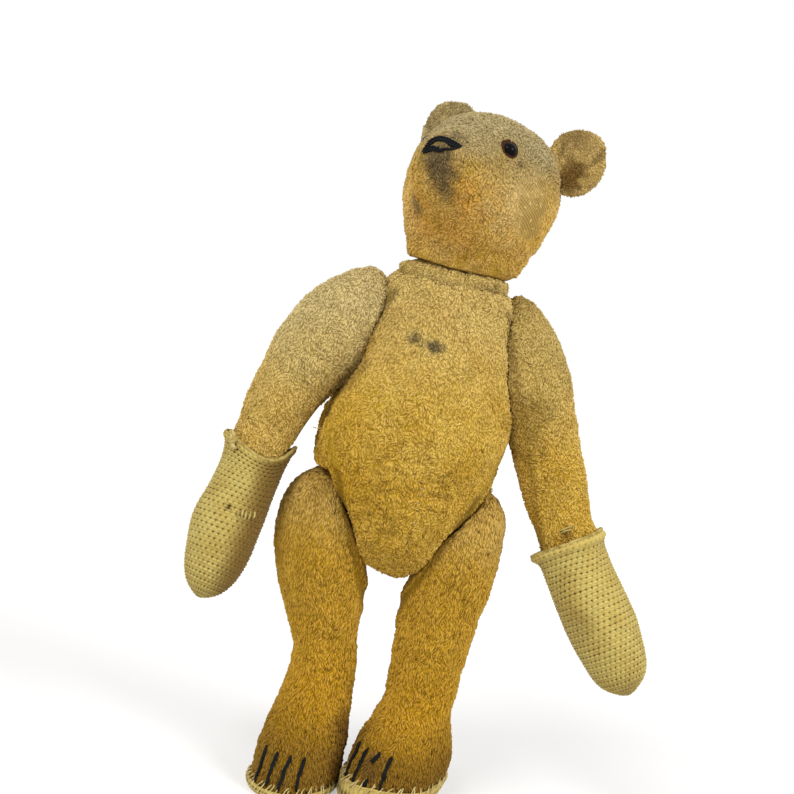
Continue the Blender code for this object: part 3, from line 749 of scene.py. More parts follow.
def plush_material(name, finish, gold, amber):
    """Worn mohair plush, woven and cut: the matted pile between its curls, and bare backing."""
    tree = new_material(name)
    places = node(tree, "TexCoord").outputs["Object"]
    marks = marks_of(tree, ("bald", "soil", "amber", "pale", "shade"))
    # matted pile, combed about by wear, with painted shade in the gaps between its curls
    combed = swayed(tree, places, 6.0, 5.0, (1.0, 1.0, 0.5))
    curls = crevices(tree, combed, finish.curl_size / MM, 0.11)
    fibre = node(tree, "TexNoise", grain(combed, 0.3, 2.0, 0.6))
    # the woven backing where the pile is gone
    tilt = Matrix.Rotation(math.radians(WARP_TILT), 3, "Y")
    lay = tilt @ Matrix.Rotation(math.radians(WARP_TURN), 3, "Z")
    laid = node(tree, "Mapping", {"Vector": places, "Rotation": tuple(lay.to_euler())})
    apart = node(tree, "SeparateXYZ", (laid,))
    threads = []
    for axis in ("X", "Z"):
        wave = (apart.outputs[axis], 2.0 * math.pi / WARP)
        wave = node(tree, "Math", wave, operation="MULTIPLY")
        threads.append(node(tree, "Math", (wave,), operation="SINE"))
    cloth = node(tree, "Math", threads, operation="ADD")
    weave = node(tree, "MapRange", (cloth, -1.3, 1.0))
    ground = node(tree, "MapRange", (weave, 0.0, 1.0, 0.6, 1.0))
    tall = node(tree, "Math", (fibre, 0.4, curls), operation="MULTIPLY_ADD")
    height = node(tree, "Mix", {0: marks["bald"], 2: tall, 3: ground})
    bumped = node(tree, "Bump", {"Height": height, "Distance": 0.4 * MM, "Strength": 0.8})
    colour = plush_colour(tree, finish, gold, amber, places, marks)
    bare = {0: weave, 6: finish.backing_dark, 7: finish.backing}
    bare = node(tree, "Mix", bare, data_type="RGBA")
    half = node(tree, "Math", (marks["bald"], 0.8), operation="MULTIPLY")
    worn = node(tree, "Mix", {0: half, 6: colour, 7: bare}, data_type="RGBA")
    # painted shade: a darker copy of the colour in the gaps, the full colour on the curls' tips
    darker = node(tree, "HueSaturation", {"Color": colour, "Saturation": 1.15, "Value": 0.56})
    tips = node(tree, "MapRange", (tall, 0.15, 1.2))
    piled = node(tree, "Mix", {0: tips, 6: darker, 7: colour}, data_type="RGBA")
    seen = node(tree, "Mix", {0: marks["bald"], 6: piled, 7: worn}, data_type="RGBA")
    inputs = {"Base Color": seen, "Normal": bumped, **MOHAIR}
    node(tree, "OutputMaterial", {"Surface": node(tree, "BsdfPrincipled", inputs)})


def curl_material(name, finish, gold, amber):
    """Curls of spun mohair: each its own tone, fibrous, with painted shade at the root and painted
    light along the top.
    """
    tree = new_material(name)
    places = node(tree, "TexCoord").outputs["Object"]
    marks = marks_of(tree, ("soil", "amber", "pale", "shade", "tone", "crest"))
    fibre = node(tree, "TexNoise", grain(places, 0.25, 2.0, 0.6))
    bumped = node(tree, "Bump", {"Height": fibre, "Distance": 0.15 * MM, "Strength": 0.6})
    colour = plush_colour(tree, finish, gold, amber, places, marks)
    # dark and bright copies of the colour, mixed by each curl's own tone and by its crest, which is
    # painted light and shade
    dark = node(tree, "HueSaturation", {"Color": colour, "Saturation": 1.1, "Value": 0.7})
    bright = node(tree, "HueSaturation", {"Color": colour, "Saturation": 0.94, "Value": 1.2})
    lit = node(tree, "Math", (marks["tone"], 0.8, marks["crest"]), operation="MULTIPLY_ADD")
    lit = node(tree, "MapRange", (lit, 0.2, 1.6))
    seen = node(tree, "Mix", {0: lit, 6: dark, 7: bright}, data_type="RGBA")
    inputs = {"Base Color": seen, "Normal": bumped, **MOHAIR}
    node(tree, "OutputMaterial", {"Surface": node(tree, "BsdfPrincipled", inputs)})


def crochet_material(name, finish):
    """Single crochet in soft ecru cotton: round pale yarn with small dark holes between."""
    tree = new_material(name)
    places = node(tree, "TexCoord").outputs["Object"]
    marks = marks_of(tree, ("relief", "soil"))
    apart = node(tree, "SeparateXYZ", (node(tree, "UVMap", uv_map="stitches"),))
    across, down = apart.outputs["X"], apart.outputs["Y"]
    # the yarn's twist, slanting plies about 0.35 mm apart
    slant = node(tree, "Math", (across, 0.6, down), operation="MULTIPLY_ADD")
    wobble = node(tree, "TexNoise", grain(places, 0.9, 2.0))
    phase = node(tree, "Math", (slant, 44.0, wobble), operation="MULTIPLY_ADD")
    ply = node(tree, "Math", (phase,), operation="SINE")
    fibre = node(tree, "TexNoise", grain(places, 0.22, 3.0, 0.65))
    height = node(tree, "Math", (ply, 0.16, fibre), operation="MULTIPLY_ADD")
    bumped = node(tree, "Bump", {"Height": height, "Distance": 0.22 * MM, "Strength": 0.7})
    patch = node(tree, "TexNoise", grain(places, 11.0, 4.0, 0.6))
    patch = node(tree, "MapRange", (patch, 0.36, 0.66))
    colour = {0: patch, 6: finish.cotton, 7: finish.cotton_deep}
    colour = node(tree, "Mix", colour, data_type="RGBA")
    colour = {0: marks["soil"], 6: colour, 7: finish.cotton_grime_and_shade}
    colour = node(tree, "Mix", colour, data_type="RGBA")
    # painted shade in the gap at each stitch's foot, an L of a dash under the row and a tick
    # between two posts, drawn a little wider than real so that it shows
    row = node(tree, "Math", (down,), operation="FLOOR")
    moved = node(tree, "Math", (row, STITCH_LEAN, across), operation="MULTIPLY_ADD")
    near = node(tree, "Math", (moved, 0.5), operation="PINGPONG")
    along = node(tree, "Math", (down,), operation="FRACT")
    off = node(tree, "Math", (along, 0.5), operation="SUBTRACT")
    away = node(tree, "Math", (off,), operation="ABSOLUTE")
    wide, flat, narrow, tall, under = (
        node(tree, "MapRange", (value, low, high))
        for value, low, high in (
            (near, 0.34, 0.08),
            (away, 0.16, 0.03),
            (near, 0.16, 0.04),
            (off, 0.42, 0.2),
            (off, -0.08, 0.0),
        )
    )
    dash = node(tree, "Math", (wide, flat), operation="MULTIPLY")
    tick = node(tree, "Math", (narrow, tall), operation="MULTIPLY")
    tick = node(tree, "Math", (tick, under), operation="MULTIPLY")
    mark = node(tree, "Math", (tick, 0.7, dash), operation="MULTIPLY_ADD")
    some = node(tree, "TexNoise", grain(places, 2.4, 2.0, 0.6))
    some = node(tree, "MapRange", (some, 0.32, 0.7, 0.2))
    mark = node(tree, "Math", (mark, some), operation="MULTIPLY")
    # painted shade: the hole colour where the relief sinks into a hole and in the marked gaps
    hollow = node(tree, "MapRange", (marks["relief"], 0.7, 0.0))
    hollow = (mark, 0.7, hollow)
    hollow = node(tree, "Math", hollow, operation="MULTIPLY_ADD", use_clamp=True)
    seen = node(tree, "Mix", {0: hollow, 6: colour, 7: finish.hole}, data_type="RGBA")
    inputs = {
        "Base Color": seen,
        "Roughness": 0.85,
        "Specular IOR Level": 0.2,
        "Sheen Weight": 0.1,
        "Sheen Roughness": 0.5,
        "Normal": bumped,
    }
    node(tree, "OutputMaterial", {"Surface": node(tree, "BsdfPrincipled", inputs)})


def thread_material(name, dark, light, roughness):
    """Spun cotton thread: fine fibres along it, with painted light where they stand out."""
    tree = new_material(name)
    places = node(tree, "TexCoord").outputs["Object"]
    fibre = node(tree, "TexNoise", grain(places, 0.3, 3.0, 0.65))
    patch = node(tree, "TexNoise", grain(places, 2.5, 2.0))
    both = node(tree, "Math", (fibre, patch), operation="MULTIPLY")
    spread = node(tree, "MapRange", (both, 0.14, 0.4))
    colours = {0: spread, 6: linear(dark), 7: linear(light)}
    inputs = {
        "Base Color": node(tree, "Mix", colours, data_type="RGBA"),
        "Roughness": roughness,
        "Specular IOR Level": 0.15,
        "Normal": node(tree, "Bump", {"Height": fibre, "Distance": 0.12 * MM, "Strength": 0.7}),
    }
    node(tree, "OutputMaterial", {"Surface": node(tree, "BsdfPrincipled", inputs)})


def button_material(name, finish):
    """A boot button, japanned black over pressed tin: deep gloss with a few fine scratches."""
    tree = new_material(name)
    places = node(tree, "TexCoord").outputs["Object"]
    scratch = {**grain(places, 0.6, 4.0), "Distortion": 3.0}
    scratch = node(tree, "TexNoise", scratch)
    rough = node(tree, "MapRange", (scratch, 0.5, 0.75, 0.08, 0.3))
    inputs = {"Base Color": finish.button, "Roughness": rough, "Specular IOR Level": 0.06}
    node(tree, "OutputMaterial", {"Surface": node(tree, "BsdfPrincipled", inputs)})


def felt_material(name, finish):
    """What is left of the plush round an eye: rubbed, rust-brown and short."""
    tree = new_material(name)
    places = node(tree, "TexCoord").outputs["Object"]
    fuzz = node(tree, "TexNoise", grain(places, 0.5, 4.0, 0.7))
    spread = node(tree, "MapRange", (fuzz, 0.3, 0.7))
    colours = {0: spread, 6: finish.rust_dark, 7: finish.rust}
    inputs = {
        "Base Color": node(tree, "Mix", colours, data_type="RGBA"),
        "Roughness": 0.95,
        "Specular IOR Level": 0.1,
        "Normal": node(tree, "Bump", {"Height": fuzz, "Distance": 0.3 * MM, "Strength": 0.9}),
    }
    node(tree, "OutputMaterial", {"Surface": node(tree, "BsdfPrincipled", inputs)})


def card_material(name):
    """Grey-brown pressed card: fine paper fibres and darker specks."""
    tree = new_material(name)
    places = node(tree, "TexCoord").outputs["Object"]
    fibres = swayed(tree, places, 3.0, 1.5, (1.0, 0.25, 1.0))
    fine = node(tree, "TexNoise", grain(fibres, 0.3, 5.0, 0.7))
    spread = node(tree, "MapRange", (fine, 0.3, 0.7))
    colours = {0: spread, 6: linear("#6b5438"), 7: linear("#a58c66")}
    inputs = {
        "Base Color": node(tree, "Mix", colours, data_type="RGBA"),
        "Roughness": 0.88,
        "Normal": node(tree, "Bump", {"Height": fine, "Distance": 0.08 * MM, "Strength": 0.6}),
    }
    node(tree, "OutputMaterial", {"Surface": node(tree, "BsdfPrincipled", inputs)})


def steel_material(name):
    """Drawn mild steel, dull with age, with rust bloom in its hollows."""
    tree = new_material(name)
    places = node(tree, "TexCoord").outputs["Object"]
    bloom = node(tree, "TexNoise", grain(places, 2.0, 6.0, 0.65))
    rust = node(tree, "MapRange", (bloom, 0.5, 0.66))
    colours = {0: rust, 6: linear("#a8a6a2"), 7: linear("#7a4526")}
    inputs = {
        "Base Color": node(tree, "Mix", colours, data_type="RGBA"),
        "Metallic": node(tree, "Math", (1.0, rust), operation="SUBTRACT"),
        "Roughness": node(tree, "MapRange", (rust, 0.0, 1.0, 0.38, 0.85)),
        "Normal": node(tree, "Bump", {"Height": bloom, "Distance": 0.06 * MM, "Strength": 0.5}),
    }
    node(tree, "OutputMaterial", {"Surface": node(tree, "BsdfPrincipled", inputs)})


def wood_wool_material(name):
    """Wood wool packed hard: long pale curling shavings, with painted shade in the gaps between
    them.
    """
    tree = new_material(name)
    places = node(tree, "TexCoord").outputs["Object"]
    shavings = swayed(tree, places, 9.0, 16.0, (1.0, 0.16, 1.0))
    strands = crevices(tree, shavings, 1.4, 0.14)
    streak = node(tree, "TexNoise", grain(shavings, 0.3, 3.0))
    height = node(tree, "Math", (streak, 0.3, strands), operation="MULTIPLY_ADD")
    tint = {0: streak, 6: linear("#b08f55"), 7: linear("#dcc491")}
    tint = node(tree, "Mix", tint, data_type="RGBA")
    # painted shade: the gaps between shavings take a dark brown
    colours = {0: strands, 6: linear("#5d4524"), 7: tint}
    inputs = {
        "Base Color": node(tree, "Mix", colours, data_type="RGBA"),
        "Roughness": 0.8,
        "Normal": node(tree, "Bump", {"Height": height, "Distance": 0.6 * MM, "Strength": 0.9}),
    }
    node(tree, "OutputMaterial", {"Surface": node(tree, "BsdfPrincipled", inputs)})


# ---- plush covers ------------------------------------------------------------------------------

BODY_KNOTS = loft_knots(*level_rings(BODY, BODY_ENDS))
HEAD_KNOTS = loft_knots(*head_rings())
LEG_KNOTS = {side: loft_knots(*level_rings(LEGS[side], LEG_ENDS[side])) for side in LEGS}
ARM_KNOTS = {side: loft_knots(*crosswise_rings(ARMS[side], ARM_ENDS[side])) for side in ARMS}
CUFF_STEP = 2.0 + 2.0 * CUFF  # where on the arm's loft the mitten's cuff stands


def from_plane(places, joint):
    """How far places lie from a joint's plane."""
    data = JOINTS[joint]
    start = np.array(data["pos_m"]) / MM - SHIFT
    return np.abs((places - start) @ np.array(data["axis"]))


def cuff_at(side):
    """Where the mitten's cuff stands on the arm, and the way up the arm there."""
    above, middle, below = (np.array(row[:3]) for row in ARMS[side][CUFF - 1 : CUFF + 2])
    return middle, unit(above - below)


def up_arm(places, side):
    """How far places lie up the arm from where the mitten's cuff stands."""
    middle, up = cuff_at(side)
    return (places - middle) @ up


RIM = {
    # angle round the cuff in degrees, how far the rim rises there, half width in degrees
    "right": (0.0, ((198.0, -1.2, 34.0), (-2.0, 5.4, 28.0), (-74.0, -8.2, 70.0))),
    "left": (0.0, ((178.0, -1.0, 40.0), (0.0, 1.5, 40.0))),
}


def rim_rise(side, angles):
    """How far the mitten's rim rises at angles round the cuff."""
    level, corners = RIM[side]
    rise = np.full(len(angles), level)
    for middle, height, half in corners:
        off = (np.degrees(angles) - middle + 180.0) % 360.0 - 180.0
        rise += height * np.exp(-((off / half) ** 2))
    return rise


def above_cuff(places, side):
    """How far places lie above the mitten's rim, which dips and rises round the arm."""
    middle, up = cuff_at(side)
    back = unit(np.array((0.0, 1.0, 0.0)) - up * up[1])
    off = places - middle
    angles = np.arctan2(off @ back, off @ np.cross(back, up))
    return up_arm(places, side) - rim_rise(side, angles)


def stand(places):
    """Keep a leg above its sole."""
    softness = 0.3
    over = SOLE_TOP + 0.1 - places[:, 2]
    risen = places.copy()
    risen[:, 2] += over + softness * np.logaddexp(0.0, -over / softness)
    return risen


def sole_rise(places, side):
    """How much further up the toes the edge of the left sole comes."""
    x, y, _, _, deep, angle = LEGS[side][FOOT]
    toes = (places[:, :2] - (x, y)) @ -rotation(angle, "Z")[:2, 1] / deep
    return 7.5 * smooth_step(-0.8, 0.5, toes) * (side == "left")


def rolled_foot(places, side):
    """The left foot has rolled a little inward, so that its outer edge is off the ground."""
    x, y = LEGS[side][FOOT][:2]
    outer = (places[:, :2] - (x, y)) @ (0.86, 0.5)
    lift = 9.5 * smooth_step(-2.0, 24.0, outer) * (1.0 - smooth_step(4.0, 42.0, places[:, 2]))
    risen = places.copy()
    risen[:, 2] += lift * (side == "left")
    return risen


def pile(places, bald, matted, height, seed):
    """How far the matted pile stands out, and how deep the creases between its clumps are."""
    lumps = gradient_noise(places, 17.0, seed) * 0.5
    wander = np.stack([gradient_noise(places, 6.0, seed + k) for k in (1, 2, 3)], axis=1)
    combed = (places + wander * 2.6) * np.array((1.0, 1.0, 0.62))
    clumps = gradient_noise(combed, 3.4, seed + 4)
    tufts = 0.5 - np.abs(gradient_noise(combed, 1.7, seed + 5)) * 2.0
    gap = bump(gradient_noise(combed, 4.3, seed + 6), 0.0, 0.2)
    crease = matted * gap * smooth_step(-0.7, 0.4, gradient_noise(places, 5.0, seed + 7))
    out = height * (0.6 * clumps + 0.5 * tufts - 1.1 * crease) * (1.0 - 0.85 * bald)
    return lumps + out, crease * (1.0 - bald)


def way_of_pile(places, seed, combed):
    """Which way the pile lies: down, but pushed about by wear, less so where it is combed."""
    way = np.stack([gradient_noise(places, 7.0, seed + k) for k in (1, 2, 3)], axis=1) * 1.5
    way += 0.8 * np.stack([gradient_noise(places, 2.4, seed + k) for k in (4, 5, 6)], axis=1)
    way[:, 2] -= 0.8 + 1.3 * combed
    return way


CURL_MARKS = ("soil", "amber", "pale", "shade")


def add_curls(cover, density, slot, finish, seed, bare, size=1.0, combed=0.0):
    """Short curls of pile laid on a cover.

    bare says where it has none, from 0 to 1. combed pile is longer, thinner and lies one way.
    """
    cover.data.calc_loop_triangles()
    corners = read(cover.data.loop_triangles, "vertices", 3, np.int64)
    points, facing = coordinates(cover.data), normals(cover.data)
    a, b, c = (points[corners[:, k]] for k in range(3))
    area = 0.5 * np.linalg.norm(np.cross(b - a, c - a), axis=1)
    grown = area * (1.0 - bare[corners].mean(axis=1)) * density
    total = np.cumsum(grown)
    count = int(total[-1])
    random = np.random.default_rng(seed)
    draws = (np.arange(count) + random.random(count)) / count * total[-1]
    chosen = np.minimum(np.searchsorted(total, draws), len(corners) - 1)
    one, two = random.random((2, count, 1))
    over = one + two > 1.0
    one, two = np.where(over, 1.0 - one, one), np.where(over, 1.0 - two, two)
    share = np.concatenate([1.0 - one - two, one, two], axis=1)[:, :, None]
    spot = np.sum(points[corners[chosen]] * share, axis=1)
    out = unit(np.sum(facing[corners[chosen]] * share, axis=1))
    way = way_of_pile(spot, seed, combed)
    way += random.normal(0.0, 0.22, way.shape)
    way = unit(way - np.sum(way * out, axis=1, keepdims=True) * out)
    side = np.cross(out, way)

    bm = bmesh.new()
    bmesh.ops.create_cone(
        bm, segments=3, radius1=1.0, radius2=0.0, depth=1.0, cap_ends=True, cap_tris=True
    )
    single = new_mesh("curl", bm)
    shape = read(single.vertices, "co", 3)
    mesh = applied(
        single,
        "Copies",
        "ARRAY",
        count=count,
        use_relative_offset=False,
        use_constant_offset=True,
        constant_offset_displace=(0.0, 0.0, 0.0),
    )
    tip = np.hypot(shape[:, 0], shape[:, 1]) < 0.5
    end = np.where(tip, np.sign(shape[:, 2]), 0.0)
    spread = random.uniform(0.6, 1.4, (4, count, 1)) * size
    long = (1.6 + 0.8 * combed) * spread[0] * end + 0.3 * random.normal(0.0, 1.0, (count, 1)) * ~tip
    thick = (0.6 - 0.08 * combed) * spread[1]
    bend = random.normal(0.0, 0.3, (count, 1))
    twist = random.normal(0.0, 0.35, (count, 1))
    aside = np.where(tip, twist * end, bend + shape[:, 0] * thick)
    high = np.where(tip, -0.25, 0.15 * spread[2] + shape[:, 1] * 0.5 * spread[3])
    places = spot[:, None, :] + long[:, :, None] * way[:, None, :]
    places = places + aside[:, :, None] * side[:, None, :] + high[:, :, None] * out[:, None, :]
    places[:, :, 2] = np.maximum(places[:, :, 2], 0.1)
    move_to(mesh, places.reshape(-1, 3))
    face_outward(mesh)
    for mark in CURL_MARKS:
        known = attribute(cover.data, mark)[corners[chosen]].mean(axis=1)
        attribute(mesh, mark, np.repeat(known, len(shape)))
    tone = np.clip(0.5 + 0.5 * gradient_noise(spot, 3.0, seed + 7), 0.0, 1.0)
    tone = 0.5 * tone + 0.5 * random.random(count)
    attribute(mesh, "tone", np.repeat(tone, len(shape)))
    # crest: painted light along each curl's top, painted shade on its underside and sunk ends
    crest = np.where(tip, 0.25, smooth_step(-0.9, 0.9, shape[:, 1]))
    attribute(mesh, "crest", np.tile(crest, count))
    add_piece(cover.name.replace("_plush", "_curls"), mesh, cover["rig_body"], slot, finish)


def add_cover(node_name, body, knots, cells, joints, finish, seed, marks, density=None):
    """One stuffed cover.

    joints are the joints that press it, each with whether the cover is on the limb's side.
    marks gives the cover's folds and marks for places and the directions they face.
    """
    sizes = bpy.context.scene.bear_sizes
    mesh = loft_mesh(node_name, knots, *cells, density)
    places = coordinates(mesh)
    grounded = body.endswith("_leg")
    arm = body.split("_")[0] if body.endswith("_arm") else None
    held = np.zeros(len(places))
    for joint, on_limb in joints:
        places = press(places, joint, on_limb)
        held = np.maximum(held, 1.0 - smooth_step(1.0, 5.0, from_plane(places, joint)))
    if grounded:
        places = stand(places)
        held = np.maximum(held, 1.0 - smooth_step(SOLE_TOP, 9.0, places[:, 2]))
    if arm:
        held = np.maximum(held, 1.0 - smooth_step(0.0, 6.0, above_cuff(places, arm)))
    move_to(mesh, places)
    filled(mesh, held, sizes.swell / MM)
    mesh = applied(mesh, "Smooth", "SUBSURF", levels=2, render_levels=2)
    places, facing = coordinates(mesh), normals(mesh)
    found = marks(places, facing)
    bald = found.get("bald", np.zeros(len(places)))
    matted = found.get("matted", 0.6)
    out, crease = pile(places, bald, matted, sizes.pile / MM, seed)
    found["shade"] = np.maximum(found["shade"], 0.4 * crease)
    for joint, _ in joints:
        away = from_plane(places, joint)
        flat = smooth_step(0.7, 0.95, np.abs(facing @ np.array(JOINTS[joint]["axis"])))
        calm = 1.0 - flat * (1.0 - smooth_step(0.8, 2.5, away))
        out = out * calm
    out = out + found.get("folds", 0.0)
    if arm:
        inside = 1.0 - smooth_step(0.0, 3.0, above_cuff(places, arm))
        out = out * (1.0 - inside) - 0.55 * inside
    places = places + facing * out[:, None]
    for joint, on_limb in joints:
        places = press(places, joint, on_limb, 0.15)
    if grounded:
        places = rolled_foot(stand(places), body.split("_")[0])
    move_to(mesh, places)
    for mark in ("bald", "soil", "amber", "pale", "shade"):
        attribute(mesh, mark, found.get(mark, np.zeros(len(places))))
    slot, cloth, curls = finish
    name = node_name.replace("_cover", "_plush")
    piece = add_piece(name, mesh, body, slot, cloth, (node_name,))
    bare = np.maximum(0.94 * bald, found.get("clear", 0.0))
    for joint, _ in joints:
        # no pile between the two faces of a joint, so that they turn on each other
        wide = 0.8 if joint == "neck" else 0.45 if joint.endswith("_hip") else 0.0
        flat = np.abs(facing @ np.array(JOINTS[joint]["axis"])) > 0.9 - 0.5 * wide
        near = 1.0 - smooth_step(0.9 + wide, 1.6 + 1.2 * wide, from_plane(places, joint))
        bare = np.maximum(bare, np.where(flat, near, 0.0))
    if grounded:
        under = places[:, 2] + 4.0 * (facing[:, 2] + 1.0)
        bare = np.maximum(bare, 1.0 - smooth_step(SOLE_TOP + 0.4, SOLE_TOP + 1.0, under))
    if arm:
        bare = np.maximum(bare, 1.0 - smooth_step(-1.5, 0.5, above_cuff(places, arm)))
    add_curls(piece, sizes.curls, slot, curls, seed, bare, combed=found.get("combed", 0.0))
    return piece


STUFFING_INSIDE = 2.6


def add_stuffing(node_name, body):
    """Packed wood wool, a little inside its frame solid so that no dished cover bares it."""
    mesh = frame["nodes"][node_name].data.copy()
    bm = bmesh.new()
    bm.from_mesh(mesh)
    bmesh.ops.remove_doubles(bm, verts=bm.verts, dist=0.01 * MM)
    bmesh.ops.recalc_face_normals(bm, faces=bm.faces)
    bm.to_mesh(mesh)
    bm.free()
    places = coordinates(mesh)
    mesh.materials.clear()
    move_to(mesh, places - normals(mesh) * STUFFING_INSIDE)
    name = node_name.replace("_stuffing", "_wood_wool")
    return add_piece(name, mesh, body, "wood_wool", "packed_wood_wool", (node_name,))


def seam_bead(places, joint):
    """The rolled seam round the edge of a joint, with the crease beside it."""
    away = from_plane(places, joint)
    return 0.3 * bump(away, 1.8, 1.0) - 0.25 * bump(away, 4.2, 1.1)


# spots: a place, how far it reaches in millimetres, and how strong or how high it is
CHEST_STAINS = (
    ((-10.2, -29.4, 193.6), 3.8, 0.6),
    ((-6.0, -30.5, 192.6), 3.6, 0.3),
    ((-1.6, -31.2, 191.8), 4.0, 0.8),
    ((1.8, -31.2, 191.4), 3.2, 0.5),
)
UNDER_ARM = (
    ((-31.0, -24.0, 179.0), 10.0, 0.6),
    ((-36.0, -18.0, 169.0), 10.0, 0.6),
    ((-40.5, -11.0, 158.0), 9.0, 0.5),
)
BODY_LUMPS = (
    ((-45.0, -2.0, 144.0), 13.0, -2.8),
    ((-42.0, -6.0, 168.0), 11.0, 2.2),
    ((41.0, -4.0, 141.0), 15.0, -2.0),
)
# how high on the body each joint's crease is dark
CREASED = {
    "right_shoulder": (165.0, 213.0),
    "left_shoulder": (165.0, 213.0),
    "right_hip": (0.0, 137.0),
    "left_hip": (0.0, 137.0),
}


def body_marks(places, facing):
    """The body's gathers, seams, hollows, stains and colour."""
    x, y, z = places.T
    front = smooth_step(0.1, 0.5, -facing[:, 1])
    back = smooth_step(0.1, 0.5, facing[:, 1])
    around = np.arctan2(y - 2.0, x)
    uneven = np.clip(1.0 + 1.3 * gradient_noise(places, 11.0, 60), 0.1, 2.0)
    sag = z + 1.1 * gradient_noise(places, 12.0, 59)
    roll = 1.1 * uneven * bump(sag, 222.0, 2.0) - 0.6 * uneven * bump(sag, 218.8, 1.2)
    gather = np.sin(around * 30.0 + 4.0 * gradient_noise(places, 14.0, 61))
    gather *= 0.3 * smooth_step(202.0, 214.0, z) * (1.0 - smooth_step(221.0, 224.0, z))
    matted = gradient_noise(places * (1.0, 1.0, 0.7), 4.6, 58)
    gather += 0.5 * (0.35 - np.abs(matted) * 1.6) * (0.35 + 0.65 * smooth_step(172.0, 140.0, z))
    line = x - 6.0 - 2.0 * gradient_noise(places, 40.0, 62)
    seam = -0.55 * bump(line, 0.0, 0.8) * front * smooth_step(95.0, 105.0, z)
    seam -= 0.55 * bump(x + 1.0, 0.0, 0.8) * back
    beads = sum(
        seam_bead(places, joint) * smooth_step(172.0, 176.0, z)
        for joint in ("right_shoulder", "left_shoulder")
    )
    hips = sum(
        seam_bead(places, joint) * (1.0 - smooth_step(133.0, 137.0, z)) * 0.5
        for joint in ("right_hip", "left_hip")
    )
    soil = spots_on(places, CHEST_STAINS, 0.3, 2.6, 63)
    # painted shade in the groove under the collar's roll, through the soil mark
    soil = np.maximum(soil, 0.1 * uneven * bump(sag, 218.8, 1.4))
    amber = 0.78 * (1.0 - smooth_step(100.0, 176.0, z + 9.0 * gradient_noise(places, 22.0, 64)))
    # painted shade: more amber towards the bear's right, where the right arm shades the belly
    amber = amber * (0.75 + 0.25 * smooth_step(30.0, -20.0, x))
    # painted light: less amber low on the belly, which faces down, so that it shows lighter
    amber = amber * (1.0 - 0.5 * smooth_step(140.0, 106.0, z))
    # painted shade: more amber on the right flank below the right arm
    amber = amber + 0.35 * smooth_step(-12.0, -30.0, x) * smooth_step(185.0, 165.0, z)
    shade = 0.3 * bump(sag, 218.8, 0.8) * uneven
    for joint, (low, high) in CREASED.items():
        near = 1.0 - smooth_step(0.4, 3.0, from_plane(places, joint))
        near = near * smooth_step(low - 8.0, low, z) * (1.0 - smooth_step(high - 3.0, high, z))
        shade = np.maximum(shade, 0.7 * near)
    shade = np.maximum(shade, spots_on(places, UNDER_ARM, 0.3, 6.0, 65))
    pale = 0.4 * smooth_step(160.0, 210.0, z) * smooth_step(-0.3, 0.6, facing[:, 2] + 0.2)
    folds = roll + gather + seam + beads + hips + lumps_on(places, BODY_LUMPS)
    matted = 0.4 + 0.5 * smooth_step(178.0, 140.0, z) + 0.3 * smooth_step(210.0, 218.0, z)
    return {
        "folds": folds,
        "soil": soil,
        "amber": np.clip(amber, 0.0, 1.0),
        "shade": shade,
        "pale": pale,
        "matted": matted,
    }


HEAD_DIRT = (
    ((-8.5, -38.5, 274.5), 10.0, 0.36),
    ((-12.0, -42.0, 272.0), 8.0, 0.24),
    ((-18.5, -45.2, 264.5), 10.5, 0.42),
    ((-12.5, -44.5, 262.5), 11.0, 0.42),
    ((-11.6, -43.5, 256.5), 8.5, 0.32),
    ((-9.0, -41.7, 251.0), 6.0, 0.36),
    ((-20.9, -22.2, 245.2), 7.5, 0.42),
    ((-20.0, -24.0, 250.0), 6.0, 0.25),
    ((7.8, -20.6, 282.8), 7.5, 0.34),
    ((10.5, -21.5, 280.5), 4.5, 0.25),
    ((16.9, -26.0, 269.6), 4.6, 0.5),
    ((14.0, -28.5, 267.5), 4.5, 0.25),
)
BALD_CHEEK = (
    ((25.0, -24.0, 253.8), 15.0, 0.9),
    ((27.0, -18.0, 246.0), 13.0, 0.75),
    ((24.2, -22.8, 265.3), 10.0, 0.45),
    ((30.0, -10.0, 260.0), 16.0, 0.6),
)
CHEEK_COLOUR = (
    ((-3.0, -40.7, 252.2), 11.0, 0.6),
    ((-15.4, -23.4, 238.9), 12.0, 0.6),
    ((-0.4, -29.5, 238.0), 11.0, 0.55),
    ((1.0, -35.8, 247.1), 9.0, 0.5),
    ((8.0, -32.0, 255.0), 10.0, 0.35),
    ((-18.0, -30.0, 252.0), 9.0, 0.5),
)
FADED_CHEEK = (((14.0, -20.0, 262.0), 30.0, 1.0),)
HEAD_HOLLOWS = (
    ((36.0, 10.0, 238.0), 32.0, 4.4),
    ((-26.0, -6.0, 246.0), 26.0, 2.6),
    ((12.0, 6.0, 296.0), 26.0, 2.6),
)


